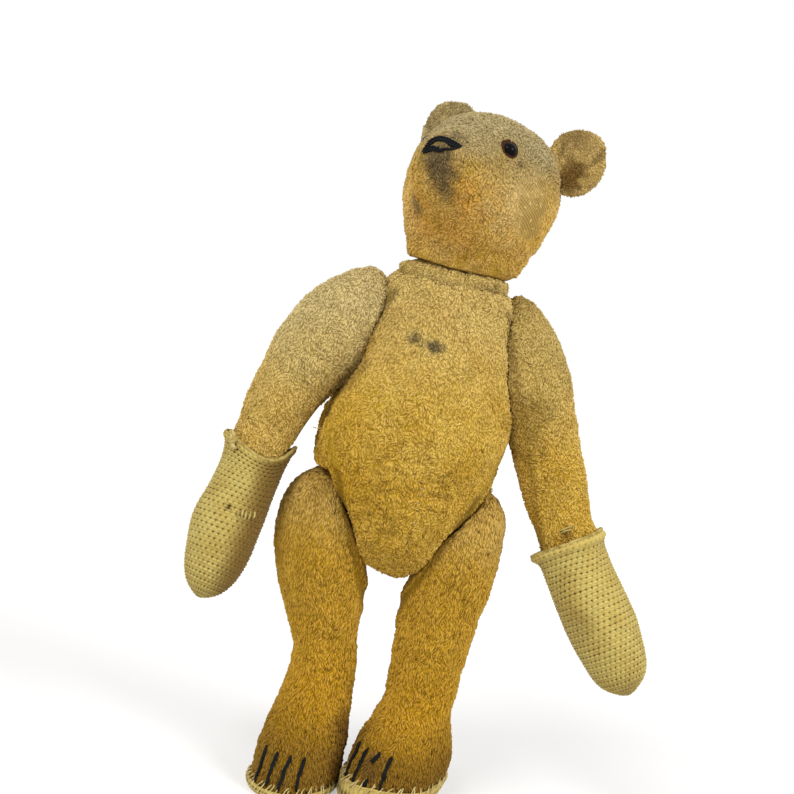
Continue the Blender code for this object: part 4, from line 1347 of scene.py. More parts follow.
def head_marks(places, facing):
    """The head's seams, hollows, dirt, bald cheek and colour, and where it has no curls."""
    local = (places - np.array(HEAD_MIDDLE)) @ head_spin()
    out, forward, up = local[:, 0], -local[:, 1], local[:, 2]
    soil = spots_on(places, HEAD_DIRT, 0.22, 5.0, 71)
    soil = np.maximum(soil, 0.34 * smooth_step(256.0, 272.0, places[:, 2]))
    bald = spots_on(places, BALD_CHEEK, 0.5, 5.0, 72)
    amber = spots_on(places, CHEEK_COLOUR, 0.5, 7.0, 73)
    pale = 0.85 * smooth_step(258.0, 282.0, places[:, 2] + 4.0 * gradient_noise(places, 15.0, 74))
    pale = np.maximum(pale, 0.5 * spots_on(places, FADED_CHEEK))
    chin = smooth_step(0.2, -0.5, facing[:, 2]) * smooth_step(256.0, 246.0, places[:, 2])
    line = out - 1.2 - 1.0 * gradient_noise(places, 25.0, 75)
    under = smooth_step(6.0, -8.0, up) * smooth_step(20.0, 30.0, forward + 0.4 * (8.0 - up))
    folds = -0.5 * bump(line, 0.0, 0.7) * under
    folds -= lumps_on(places, HEAD_HOLLOWS) * smooth_step(-0.85, -0.35, facing[:, 2])
    # the jowls taper down to the neck, more on the left, and reach its collar
    rim = bump(np.hypot(places[:, 0] - 1.0, places[:, 1]), 17.0, 4.5)
    folds += 2.4 * rim * smooth_step(-0.3, -0.8, facing[:, 2])
    east = smooth_step(-0.3, 0.8, places[:, 0] / 25.0)
    taper = smooth_step(238.0, 224.0, places[:, 2]) * smooth_step(-0.85, -0.4, facing[:, 2])
    folds -= (2.0 + 6.6 * east) * taper
    folds -= 0.35 * bump(np.abs(out) - 13.0, 0.0, 0.9) * smooth_step(18.0, 26.0, up)
    shade = 0.35 * (1.0 - smooth_step(224.0, 226.5, places[:, 2]))
    matted = 0.15 + (0.75 - 0.4 * chin) * smooth_step(268.0, 250.0, places[:, 2] + 0.35 * out)
    clear = np.zeros(len(places))
    nose = [spot for line in NOSE_LINES for spot in line]
    for spots, low, high in ((BUTTON_AT.values(), 4.0, 5.4), (nose, 1.0, 2.2)):
        for spot in spots:
            away = np.hypot(out - spot[0], up - spot[1])
            clear = np.maximum(clear, (1.0 - smooth_step(low, high, away)) * (forward > 0.0))
    return {
        "clear": clear,
        "folds": folds,
        "matted": matted,
        "soil": soil,
        "bald": bald,
        "amber": amber,
        "pale": pale,
        "shade": shade,
    }


def limb_marks(places, joint):
    """What arms and legs share: the rolled seam and the dark crease round the joint."""
    near = 1.0 - smooth_step(0.2, 2.4, from_plane(places, joint))
    return seam_bead(places, joint), 0.4 * near


SLEEVE_HOLE = (((68.0, -14.7, 128.3), 3.2, 1.0),)
SLEEVE_SHADE = (((68.5, -14.7, 126.5), 4.0, 0.7),)
INNER_ARM = (((43.0, -9.0, 174.0), 14.0, 0.5), ((48.0, -8.0, 158.0), 11.0, 0.4))
FRONT_OF_LEG = (((-4.0, -11.0, 23.0), 19.0, 1.0), ((-6.0, -19.0, 11.0), 13.0, 0.8))
FOOT_DIRT = (
    ((-24.0, -38.0, 5.0), 10.0, 0.35),
    ((9.9, -28.5, 17.0), 9.0, 0.5),
    ((24.0, -34.0, 8.0), 9.0, 0.35),
)
THIGH_HOLLOW = (((-47.0, 0.0, 131.0), 11.0, -3.2),)


def arm_marks(side):
    """The marks of one arm."""

    def marks(places, facing):
        folds, shade = limb_marks(places, f"{side}_shoulder")
        z = places[:, 2]
        wander = 9.0 * gradient_noise(places, 20.0, 81)
        amber = 0.36 * (1.0 - smooth_step(130.0, 185.0, z + wander))
        pale = 0.55 * smooth_step(150.0, 200.0, z + wander)
        soil = 0.07 * smooth_step(-0.2, 0.5, gradient_noise(places, 12.0, 82))
        # painted light: the right arm is made paler; painted shade: the left arm is made less pale,
        # and darker at its top through the soil mark
        if side == "right":
            pale = pale + 0.22
            amber = amber * 0.7
        else:
            pale = pale * 0.55
            amber = amber * 0.6
            soil = soil + 0.17 * smooth_step(170.0, 200.0, z)
            shade = np.maximum(shade, spots_on(places, SLEEVE_SHADE))
            shade = np.maximum(shade, spots_on(places, INNER_ARM, 0.3, 6.0, 84))
        folds = folds - 0.4 * spots_on(places, SLEEVE_HOLE, 0.4, 1.0, 83)
        # the stuffing fills the arm's inner corner at the top, and sags over the chest below
        sign = 1.0 if side == "left" else -1.0
        lumps = (
            ((27.0 * sign, -2.0, 220.0), 13.0, 3.0),
            ((31.0 * sign, -15.0, 182.0), 18.0, 3.4),
            ((49.0 * sign, -4.0, 219.0), 17.0, -3.2 if side == "right" else -1.5),
        )
        folds = folds + lumps_on(places, lumps)
        return {
            "folds": folds,
            "shade": shade,
            "amber": amber,
            "pale": pale,
            "soil": soil,
            "matted": 0.45,
        }

    return marks


def leg_marks(side):
    """The marks of one leg, and where its claws keep it clear of curls."""

    def marks(places, facing):
        folds, shade = limb_marks(places, f"{side}_hip")
        z = places[:, 2]
        wander = 8.0 * gradient_noise(places, 18.0, 91)
        amber = 0.75 + 0.25 * smooth_step(90.0, 30.0, z + wander)
        shade = np.maximum(shade, spots_on(places, FRONT_OF_LEG, 0.3, 7.0, 93))
        soil = spots_on(places, FOOT_DIRT, 0.5, 4.0, 92)
        soil = np.maximum(soil, 0.25 * smooth_step(30.0, 5.0, z))
        pale = 0.25 * smooth_step(95.0, 120.0, z)
        folds = folds - (0.7 if side == "right" else 1.2) * smooth_step(125.0, 134.0, z)
        if side == "right":
            folds = folds + lumps_on(places, THIGH_HOLLOW)
        x, y, _, _, _, angle = LEGS[side][FOOT]
        across, back = ((places[:, :2] - (x, y)) @ rotation(angle, "Z")[:2, :2]).T
        top, bottom = CLAWS[side]
        claws = (z > bottom - 1.0) & (z < top + 1.0) & (back < 0.0)
        away = np.min([np.abs(across - (i - 1.5) * CLAW_SPACING) for i in range(4)], axis=0)
        clear = claws * (1.0 - smooth_step(0.6, 1.2, away))
        # painted shade: each foot darkens towards the ground, worn setting how strongly
        worn = 0.66 if side == "right" else 0.72
        shade = np.maximum(shade, worn * smooth_step(46.0, 16.0, z + 0.6 * wander))
        return {
            "folds": folds,
            "shade": shade,
            "amber": amber,
            "soil": soil,
            "pale": pale,
            "matted": 0.6,
            "combed": 1.0,
            "clear": clear,
        }

    return marks


# ---- ears, eyes and nose -----------------------------------------------------------------------

EAR_AT = (30.5, 14.0, 23.3)  # out, back and up from the head's middle
EAR_HALF = (12.4, 2.6, 14.0)  # half width, thickness and height
EAR_FACES = 8.0  # degrees outward
BUTTON_AT = {"right": (-24.0, 12.4), "left": (16.9, 15.4)}  # out and up
BUTTON_R, BUTTON_DOME = 3.0, 2.2


def add_ear(side, tree):
    """A flat plush pad, dished at the front, its root spread on the head."""
    sizes = bpy.context.scene.bear_sizes
    name = f"{side}_ear"
    sign = 1.0 if side == "left" else -1.0
    mesh, _, _ = sphere_mesh(name, 96, 48)
    across, up, thick = read(mesh.vertices, "co", 3).T
    radius = np.hypot(across, up)
    # squarer than a circle towards the tip, and padded rather than sharp at its rim
    inner = smooth_step(-0.3, 0.5, -sign * across)
    corner = 0.05 + (0.09 * inner if side == "right" else 0.0)
    square = 1.0 + corner * np.abs(np.sin(2.0 * np.arctan2(up, across))) * smooth_step(0.0, 0.7, up)
    x = across * EAR_HALF[0] * square
    z = up * EAR_HALF[2] * square
    y = np.sign(thick) * np.abs(thick) ** 0.75 * EAR_HALF[1]
    y += 2.4 * (1.0 - radius**2) - 0.8  # the dish: the middle lies further back than the rim
    fan = np.arctan2(x + sign * 6.0, z + 16.0)
    fanned = np.stack([fan * 20.0, 0.22 * z, 0.5 * y], axis=1)
    front = smooth_step(0.2, -0.4, thick)
    fold = 1.3 * gradient_noise(fanned, 3.4, 101) * smooth_step(0.1, 0.7, radius)
    y -= 0.38 * fold * front
    y += 0.2 * fold * (1.0 - front)
    spin = head_spin() @ rotation(sign * EAR_FACES, "Z")
    middle = on_head(sign * EAR_AT[0], -EAR_AT[1], EAR_AT[2])
    places = middle + np.stack([x, y, z], axis=1) @ spin.T
    move_to(mesh, places)
    face_outward(mesh)
    facing = normals(mesh)
    bald = 0.35 * smooth_step(-0.1, 0.5, gradient_noise(places, 8.0, 102))
    out = pile(places, bald, 0.3, 0.8 * sizes.pile / MM, 103)[0]
    places = places + facing * (out * 0.8)[:, None]
    hidden = np.zeros(len(places))
    for i, place in enumerate(places):
        hit, normal = nearest_to(tree, place, 0.25)
        if (place - hit) @ normal < 0.0:
            places[i] = hit
            hidden[i] = 1.0
    move_to(mesh, places)
    # painted shade in the fold valleys on the ear's front, through the soil mark and the shade
    # mark; rust is a real stain carried on the shade mark
    valley = front * smooth_step(0.1, -0.8, fold)
    if side == "left":
        spots = (((40.8, 0.3, 274.5), 7.5, 1.0), ((38.5, 0.0, 269.5), 7.0, 1.0))
        soil = 0.14 + 0.24 * valley
    else:
        spots = (((-18.8, 30.1, 288.1), 10.0, 0.3),)
        soil = 0.08 + 0.2 * valley
    rust = spots_on(places, spots, 0.5, 3.0, 104)
    attribute(mesh, "bald", bald)
    attribute(mesh, "soil", np.clip(soil, 0.0, 1.0))
    attribute(mesh, "amber", np.full(len(places), 0.1))
    attribute(mesh, "pale", np.full(len(places), 0.35 if side == "left" else 0.8))
    attribute(mesh, "shade", np.clip(1.1 * rust + 0.3 * valley, 0.0, 1.0))
    slot, cloth, curls = plush_finish("pale_plush", "rubbed")
    piece = add_piece(name + "_plush", mesh, "head", slot, cloth, (name,))
    bare = np.maximum(0.9 * bald, hidden)
    add_curls(piece, 1.2 * sizes.curls, slot, curls, 105, bare, 0.7)


def turned(name, profile, steps):
    """A shape turned from its outline, which starts and ends on the axis."""
    bm = bmesh.new()
    verts = [bm.verts.new((radius * MM, 0.0, height * MM)) for radius, height in profile]
    edges = [bm.edges.new(pair) for pair in zip(verts[:-1], verts[1:])]
    bmesh.ops.spin(
        bm,
        geom=verts + edges,
        cent=(0.0, 0.0, 0.0),
        axis=(0.0, 0.0, 1.0),
        angle=2.0 * math.pi,
        steps=steps,
        use_merge=True,
    )
    bmesh.ops.remove_doubles(bm, verts=bm.verts, dist=0.02 * MM)
    bmesh.ops.recalc_face_normals(bm, faces=bm.faces)
    return new_mesh(name, in_order(bm))


def add_eye(side, tree):
    """A boot button on its shank, in a ring of rubbed rusty plush."""
    out, up = BUTTON_AT[side]
    start = on_head(out, 100.0, up)
    lift = -0.8 if side == "right" else 0.1
    place, normal = ray_to(tree, start, head_spin()[:, 1], lift)
    spin = Vector(normal).to_track_quat("Z", "Y").to_matrix().to_4x4()
    seat = Matrix.Translation(Vector((place + SHIFT) * MM)) @ spin
    dome = [(0.0, BUTTON_DOME)]
    for i in range(1, 12):
        angle = math.radians(i * 8.2)
        dome.append((BUTTON_R * math.sin(angle), BUTTON_DOME * math.cos(angle)))
    under = [(BUTTON_R * 0.96, -0.25), (BUTTON_R * 0.8, -0.4), (0.9, -0.45), (0.75, -0.7)]
    shank = [(0.75, -4.6), (0.6, -4.85), (0.0, -4.9)]
    button = turned(f"{side}_eye_button", dome + under + shank, 40)
    button.transform(seat)
    solid = (f"{side}_eye",)
    add_piece(button.name, button, "head", "black_button", "japanned_button", solid)
    ring, _, _ = sphere_mesh(f"{side}_eye_ring", 72, 20)
    ball = read(ring.vertices, "co", 3)
    radius = np.hypot(ball[:, 0], ball[:, 1])
    angle = np.arctan2(ball[:, 1], ball[:, 0])
    wide = 3.9 + 0.9 * smooth_step(-0.2, 1.0, np.sin(angle))
    wide += 0.3 * gradient_noise(ball * 4.0, 2.0, 111)
    height = np.where(ball[:, 2] > 0.0, 0.5 * np.sqrt(np.clip(1.0 - radius**4, 0.0, 1.0)), -0.4)
    height += np.where(ball[:, 2] > 0.0, 0.14 * gradient_noise(ball * 6.0, 0.9, 112), 0.0)
    points = np.stack([ball[:, 0] * wide, ball[:, 1] * wide, height], axis=1)
    around = np.array(spin.to_3x3())
    ring_places = place + points @ around.T
    for i, spot in enumerate(ring_places):
        hit, out = nearest_to(tree, spot, 0.0)
        ring_places[i] = hit + out * (points[i, 2] * 0.8 + 0.05)
    move_to(ring, ring_places)
    face_outward(ring)
    add_piece(ring.name, ring, "head", "black_button", "rusty_rubbed_plush")


# the nose's threads, out and up on the head: its arch, then the bar under it
NOSE_LINES = (
    (
        *((-6.6, 2.2), (-6.0, 4.8), (-4.9, 7.2), (-3.1, 8.8)),
        *((-1.0, 9.5), (1.4, 9.3), (4.0, 8.8), (7.0, 7.9)),
    ),
    (
        *((-6.1, 2.4), (-5.3, 4.6), (-4.2, 6.6), (-2.7, 8.0)),
        *((-0.8, 8.7), (1.4, 8.6), (3.9, 8.1), (6.8, 7.6)),
    ),
    ((-4.6, 5.2), (-3.6, 6.9), (-1.8, 8.0), (0.6, 8.1), (3.2, 7.5), (5.9, 7.2)),
    ((2.2, 7.3), (4.1, 7.1), (6.4, 7.2)),
    (
        *((-6.7, 2.3), (-4.8, 3.3), (-3.2, 4.2), (-1.4, 4.1)),
        *((0.6, 4.3), (2.6, 4.9), (4.7, 5.9), (6.7, 7.3)),
    ),
    ((-6.3, 1.8), (-4.6, 2.6), (-2.9, 3.3), (-1.2, 3.6), (0.7, 3.6), (2.2, 4.2)),
    ((-4.0, 4.6), (-2.6, 5.0), (-1.5, 4.7), (0.0, 5.0)),
)


def add_nose(tree):
    """What is left of the stitched nose: bundles of black thread round its outline."""
    back = head_spin()[:, 1]
    paths = [
        [ray_to(tree, on_head(out, 100.0, up), back, 0.6)[0] for out, up in line]
        for line in NOSE_LINES
    ]
    black = ("head", "black_thread", "black_mercerised_thread")
    lay = {"plies": 2, "twist": 2.6, "taper": 0.5}
    add_threads("nose_threads", *black, paths, 0.5, ("nose_stitching",), **lay)


# ---- crochet -----------------------------------------------------------------------------------

STITCHES, ROWS = 36, 30  # round a mitten, and down it
CELLS = 5  # faces across a stitch and down a row
STITCH_LEAN = 0.4  # how far each row of crochet sets on from the last, in stitches
SOLE_STITCHES, WHIPS = 56, 50  # round a sole, and the stitches that hold it to the foot
SOLE_PROFILE = (
    # how far round the section, how far out from the foot's edge, and how high
    (0.0, -60.0, 2.0),
    (0.18, -1.2, 2.0),
    (0.24, -0.2, 2.2),
    (0.34, 0.5, 3.4),
    (0.42, 0.9, 3.7),
    (0.5, 1.3, 3.1),
    (0.6, 1.4, 2.1),
    (0.7, 1.2, 1.0),
    (0.78, 0.5, 0.25),
    (0.84, -1.0, 0.0),
    (1.0, -60.0, 0.0),
)


def single_crochet(across, down, loose, seed):
    """How high the yarn of single crochet stands, 0 in a hole to about 1 on a loop.

    across counts stitches along a row, down counts rows. Each row is a cord of front loops over
    posts, with a small hole at the foot of each post.
    """
    row = np.floor(down)
    u = (across + STITCH_LEAN * row) % 1.0
    v = down - row
    spot = np.stack([across, down, np.zeros(len(across))], 1)
    uneven = gradient_noise(spot, 1.3, seed)
    chance = np.sin(12.9898 * np.floor(across + STITCH_LEAN * row) + 78.233 * row) * 43758.5453
    size = 0.3 + 1.0 * (chance % 1.0) + 0.4 * gradient_noise(spot, 5.2, seed + 1)
    bar = np.exp(-(((v - 0.2) / 0.2) ** 2)) + np.exp(-(((v - 1.2) / 0.2) ** 2))
    strand = 0.72 + 0.28 * np.cos(2.0 * math.pi * (u + 0.5 - 0.4 * v))
    near = np.minimum(u, 1.0 - u)
    post = np.exp(-(((v - 0.73) / 0.2) ** 4)) * (1.0 - 0.55 * np.exp(-((near / 0.14) ** 2)))
    dot = np.exp(-((near / (0.2 + 0.04 * loose)) ** 2) - ((v - 0.5) / (0.09 + 0.06 * loose)) ** 2)
    height = 0.34 + 0.48 * bar * strand + 0.46 * post
    return height - (0.25 + 0.45 * loose) * size * dot + 0.06 * uneven


def stitch_map(mesh, across, down, count):
    """A UV map in stitches, kept whole where it joins up."""
    corners = read(mesh.loops, "vertex_index", 1, np.int64)
    starts = read(mesh.polygons, "loop_start", 1, np.int64)
    totals = read(mesh.polygons, "loop_total", 1, np.int64)
    u = across[corners]
    widest = np.repeat(np.maximum.reduceat(u, starts), totals)
    u = np.where(widest - u > count / 2.0, u + count, u)
    layer = mesh.uv_layers.new(name="stitches")
    layer.data.foreach_set("uv", np.stack([u, down[corners]], axis=1).ravel())


MITTEN_BULGE = (((-79.0, -23.0, 105.0), 14.0, 3.2),)
MITTEN_DIRT = {
    "right": (((-56.0, -28.0, 118.0), 16.0, 0.3),),
    "left": (((82.0, -20.0, 92.0), 10.0, 0.35), ((108.0, -20.0, 70.0), 10.0, 0.3)),
}
MITTEN_PIT = np.array((-68.6, -32.7, 112.0))  # the hole beside the right mitten's darn
PIT_FLAT = (1.0, 1.0, 1.1)


def add_mitten(side):
    """A crocheted mitten: two walls that meet in a rim at the cuff, worked in rows."""
    knots = ARM_KNOTS[side]
    name = f"{side}_mitten"
    inner, lip, outer = 12, 4, ROWS * CELLS
    mesh, ring, angles = sphere_mesh(name, STITCHES * CELLS, inner + lip + outer)
    down = even_steps(knots, 400)
    down = down[down >= CUFF_STEP]
    lines = (loft_point(knots, down, np.full(len(down), angle)) for angle in (0.0, math.pi))
    gone = sum(reach_along(line) for line in lines) / 2.0
    slope = (down[3] - down[0]) / (gone[3] - gone[0])
    rise = rim_rise(side, angles)
    outward = ring - inner - lip
    part = np.clip(outward / outer, 0.0, 1.0)
    inside = np.clip(ring / inner, 0.0, 1.0)
    part = np.where(ring < inner, 1.0 - inside, part)
    depth = part * gone[-1] - rise * (1.0 - part) ** 5
    steps = np.where(depth < 0.0, CUFF_STEP + depth * slope, np.interp(depth, gone, down))
    base, out = loft_point(knots, steps, angles), loft_normal(knots, steps, angles)
    across = (angles / (2.0 * math.pi)) % 1.0 * STITCHES
    uneven = gradient_noise(base, 12.0, 125) * np.clip(part * 8.0, 0.0, 1.0) * (1.0 - part)
    rows = np.clip(part * ROWS + 0.5 * uneven, 0.0, ROWS)
    loose = smooth_step(6.0, 1.0, rows) if side == "right" else 0.5 * bump(rows, 6.0, 3.0)
    if side == "left":
        loose = loose * smooth_step(0.2, -0.6, np.cos(angles))
    relief = single_crochet(across, rows, loose, 121 if side == "right" else 122)
    relief = np.clip(relief, 0.0, 1.15)
    hem = bump(rows, 0.35, 0.45)
    strand = 0.5 + 0.5 * np.cos(2.0 * math.pi * (across + 0.35 * np.sign(rows - 0.35)))
    relief = relief * (1.0 - 0.7 * hem) + 0.7 * hem * (0.72 + 0.4 * strand)
    wave = 0.35 * gradient_noise(base, 14.0, 123)
    level = 0.6 + 1.5 * relief + wave
    level += (1.2 if side == "left" else 0.6) * bump(part, 0.84, 0.12)
    flare = np.exp(-np.maximum(rows, 0.0) / 1.6)
    if side == "right":
        sideways = np.exp(-(((np.degrees(angles) % 360.0 - 190.0) / 30.0) ** 2)) * 2.2
        turned_away = (np.degrees(angles) + 6.0 + 180.0) % 360.0 - 180.0
        sideways += np.exp(-((turned_away / 26.0) ** 2)) * 0.8
        level += flare * sideways
    else:
        lobe = (np.degrees(angles) - 182.0 + 180.0) % 360.0 - 180.0
        level += flare * (0.6 + 2.2 * np.exp(-((lobe / 42.0) ** 2)))
        level += 1.2 * bump(rows, 0.6, 0.8)
    wall = np.where(ring < inner, 0.35 + inside**6 * np.maximum(level - 1.75, 0.0), level)
    lip_turn = np.clip((ring - inner) / lip, 0.0, 1.0)
    low = 0.35 + np.maximum(level - 1.75, 0.0)
    in_lip = (ring >= inner) & (ring <= inner + lip)
    wall = np.where(in_lip, low + (level - low) * (0.5 - 0.5 * np.cos(math.pi * lip_turn)), wall)
    up = np.where(in_lip, np.sin(math.pi * lip_turn) * 0.8, 0.0)
    if side == "right":
        wall = wall + lumps_on(base, MITTEN_BULGE) * (ring > inner + lip)
    places = base + out * wall[:, None] + up[:, None] * cuff_at(side)[1]
    hidden = ring < inner
    relief = np.where(hidden, 0.8, relief)
    soil = spots_on(places, MITTEN_DIRT[side], 0.5, 5.0, 124)
    if side == "right":
        # painted shade: the right mitten darkens through the soil mark on its side that faces away
        # from the key light
        soil = np.maximum(soil, smooth_step(-0.05, 0.8, out[:, 0]))
        pit = bump(away_from(places * PIT_FLAT, MITTEN_PIT * PIT_FLAT), 0.0, 1.2) * ~hidden
        places = places - out * (1.5 * pit)[:, None]
        relief = relief * (1.0 - pit) - 0.8 * pit
    move_to(mesh, places)
    face_outward(mesh)
    attribute(mesh, "relief", relief)
    attribute(mesh, "soil", soil)
    stitch_map(mesh, across, rows, STITCHES)
    top = ring == inner + lip // 2
    rim = [*places[top][np.argsort(angles[top])][::3]]
    yarn = (f"{side}_arm", "crochet_cotton", "ecru_edge_yarn")
    lay = {"plies": 2, "twist": 2.1, "step": 0.45}
    add_threads(f"{name}_edge", *yarn, [rim + rim[:1]], 0.85, **lay)
    cotton = (f"{side}_arm", "crochet_cotton", "ecru_crochet_cotton")
    add_piece(f"{name}_crochet", mesh, *cotton, (name,))


def add_sole(side, tree):
    """A crocheted sole with an upstanding rim, whipped to the foot with pale yarn."""
    x, y, _, wide, deep, angle = LEGS[side][FOOT]
    name = f"{side}_sole"
    rings = 38
    mesh, ring, angles = sphere_mesh(name, SOLE_STITCHES * CELLS, rings)
    part = ring / rings
    profile = np.array(SOLE_PROFILE)
    off = np.interp(part, profile[:, 0], profile[:, 1])
    height = np.interp(part, profile[:, 0], profile[:, 2])
    across = (angles / (2.0 * math.pi)) % 1.0 * SOLE_STITCHES
    along = np.interp(part, (0.24, 0.34, 0.5, 0.7, 0.84), (0.0, 0.5, 1.1, 1.9, 2.6))
    relief = np.clip(single_crochet(across, along, 0.3, 131), 0.0, 1.1)
    rim = smooth_step(0.2, 0.3, part) * (1.0 - smooth_step(0.76, 0.86, part))
    off = off + rim * (relief - 0.7) * 0.7
    inward = np.clip(-off / 60.0, 0.0, 1.0)
    radius_x = np.where(off < -1.2, (wide - 1.2) * (1.0 - inward), wide + off)
    radius_y = np.where(off < -1.2, (deep - 1.2) * (1.0 - inward), deep + off)
    spin = rotation(angle, "Z")[:2, :2]
    flat = np.stack([np.cos(angles) * radius_x, np.sin(angles) * radius_y], axis=1) @ spin.T
    places = np.stack([x + flat[:, 0], y + flat[:, 1], height], axis=1)
    places[:, 2] += rim * 0.25 * gradient_noise(places, 7.0, 132)
    places[:, 2] = np.maximum(places[:, 2], 0.0)
    raised = sole_rise(places, side) * np.clip(height / 3.4, 0.0, 1.0) ** 2 * (off > -1.25)
    places[:, 2] += raised
    places = rolled_foot(places, side)
    for i in np.flatnonzero(raised > 0.4):
        # the raised edge lies on the foot
        lift = max(off[i], -0.1) + 0.1
        close = nearest_to(tree, places[i], lift)[0]
        places[i] += (close - places[i]) * min((raised[i] - 0.4) / 1.6, 1.0)
    move_to(mesh, places)
    face_outward(mesh)
    attribute(mesh, "relief", np.where(rim > 0.1, relief, 0.8))
    attribute(mesh, "soil", 0.55 * smooth_step(0.0, 0.8, gradient_noise(places, 9.0, 133)))
    stitch_map(mesh, across, along, SOLE_STITCHES)
    cotton = (f"{side}_leg", "crochet_cotton")
    add_piece(f"{name}_crochet", mesh, *cotton, "ecru_crochet_cotton", (name,))
    paths = []
    random = np.random.default_rng(141 if side == "left" else 142)
    for i in range(WHIPS):
        turn = 2.0 * math.pi * (i + random.uniform(-0.2, 0.2)) / WHIPS
        lean = random.uniform(0.01, 0.07)
        top = random.uniform(4.9, 6.8)
        path = []
        for k, (beyond, high) in enumerate(((0.9, 0.7), (1.6, 2.0), (1.3, 3.5))):
            a = turn + lean * k
            flat = spin @ (math.cos(a) * (wide + beyond), math.sin(a) * (deep + beyond))
            spot = np.array([(x + flat[0], y + flat[1], high)])
            rise = sole_rise(spot, side)[0]
            spot[:, 2] += rise
            spot = rolled_foot(spot, side)[0]
            path.append(nearest_to(tree, spot, beyond + 0.1)[0] if rise > 2.0 else spot)
        for k, (high, lift) in enumerate(((0.6, 0.5), (1.0, -0.1))):
            a = turn + lean * (3 + k)
            flat = spin @ (math.cos(a) * wide, math.sin(a) * deep)
            spot = np.array([(x + flat[0], y + flat[1], 3.6 + (top - 3.6) * high)])
            spot[:, 2] += sole_rise(spot, side)
            path.append(nearest_to(tree, rolled_foot(spot, side)[0], lift)[0])
        paths.append(path)
    lay = {"plies": 2, "twist": 2.0, "step": 0.8, "sides": 0}
    add_threads(f"{name}_whipping", *cotton, "pale_cotton_yarn", paths, 0.36, **lay)


CLAWS = {"right": (17.0, 4.6), "left": (24.0, 11.0)}  # each foot's claws, from and to that height
CLAW_SPACING = 5.6


def add_claws(side, tree):
    """Black thread claws, one of them on the left foot worn through."""
    x, y, _, _, _, angle = LEGS[side][FOOT]
    spin = rotation(angle, "Z")
    top, bottom = CLAWS[side]
    black = (f"{side}_leg", "black_thread", "black_mercerised_thread")
    for i in range(4):
        name = f"{side}_claw_{i + 1}"
        pieces = [(name, top, bottom)]
        if side == "left" and i == 2:
            ends = ((top, top - 3.5), (bottom + 3.0, bottom))
            pieces = [(f"{name}_upper", *ends[0]), (f"{name}_lower", *ends[1])]
        for piece, high, low in pieces:
            paths = []
            for strand in range(3):
                path = []
                for t in np.linspace(0.0, 1.0, 13):
                    height = high + (low - high) * t + 0.4 * math.sin(strand * 2.1)
                    sway = 0.35 * math.sin(1.3 * i + 2.6 * t)
                    # a whole claw's strands draw together at its ends
                    apart = 0.5 + 0.5 * math.sin(math.pi * min(t * 1.4 + 0.15, 1.0))
                    apart = (strand - 1) * 0.34 * (apart if piece == name else 1.0)
                    across = (i - 1.5) * CLAW_SPACING + sway + apart
                    begin = np.array((x, y, 0.0)) + spin @ (across, -100.0, height)
                    path.append(ray_to(tree, begin, spin[:, 1], 0.8)[0])
                paths.append(path)
            lay = {"plies": 2, "twist": 2.2, "taper": 0.6}
            add_threads(f"{piece}_thread", *black, paths, 0.46, (piece,), **lay)


# ---- mending and loose threads -----------------------------------------------------------------


SEAM_TOP = np.arange(127.0, 144.0, 2.9)  # the slanting stitches of the front seam, by height
SEAM_LOW = (112.0, 116.5, 121.0)  # the upright ones below them
CHIN_ENDS = (
    # where an end leaves the cloth, which way it goes, and how long it is
    ((-4.9, -21.0, 229.5), (0.2, -0.3, -0.5), 3.0),
    ((-5.6, -22.0, 231.0), (-0.5, -0.3, 0.2), 2.6),
    ((-4.2, -22.0, 231.5), (0.5, -0.2, 0.5), 2.4),
    ((-6.2, -26.5, 235.5), (0.1, -0.4, 0.7), 2.2),
)
SLEEVE_LOOPS = (
    ((65.5, 127.5, -0.2), (67.0, 129.0, 0.9), (68.8, 130.3, 1.2), (70.6, 130.8, 0.5))
    + ((71.6, 130.2, -0.2),),
    ((66.0, 126.6, -0.2), (67.5, 128.0, 0.8), (69.4, 128.9, 0.9), (70.8, 129.4, -0.1)),
)
KNOT_AT = np.array((-73.0, -24.2, 137.6))
KNOT = (
    ((-2.2, 0.6, 3.0), (-1.6, -0.6, 3.6), (-0.4, -1.3, 3.0), (0.1, -1.6, 1.2))
    + ((0.0, -1.6, -1.0), (0.5, -1.3, -2.8), (1.4, -0.6, -3.6)),
    ((-1.2, 0.4, 2.0), (-0.9, -1.2, 2.2), (-0.8, -1.6, 0.6), (-0.3, -1.8, -1.4))
    + ((0.7, -1.6, -2.4), (2.0, -0.9, -2.6)),
    ((-1.0, -1.0, -0.8), (-0.2, -2.2, -0.2), (0.8, -1.8, 0.5), (0.9, -0.6, 0.9)),
)


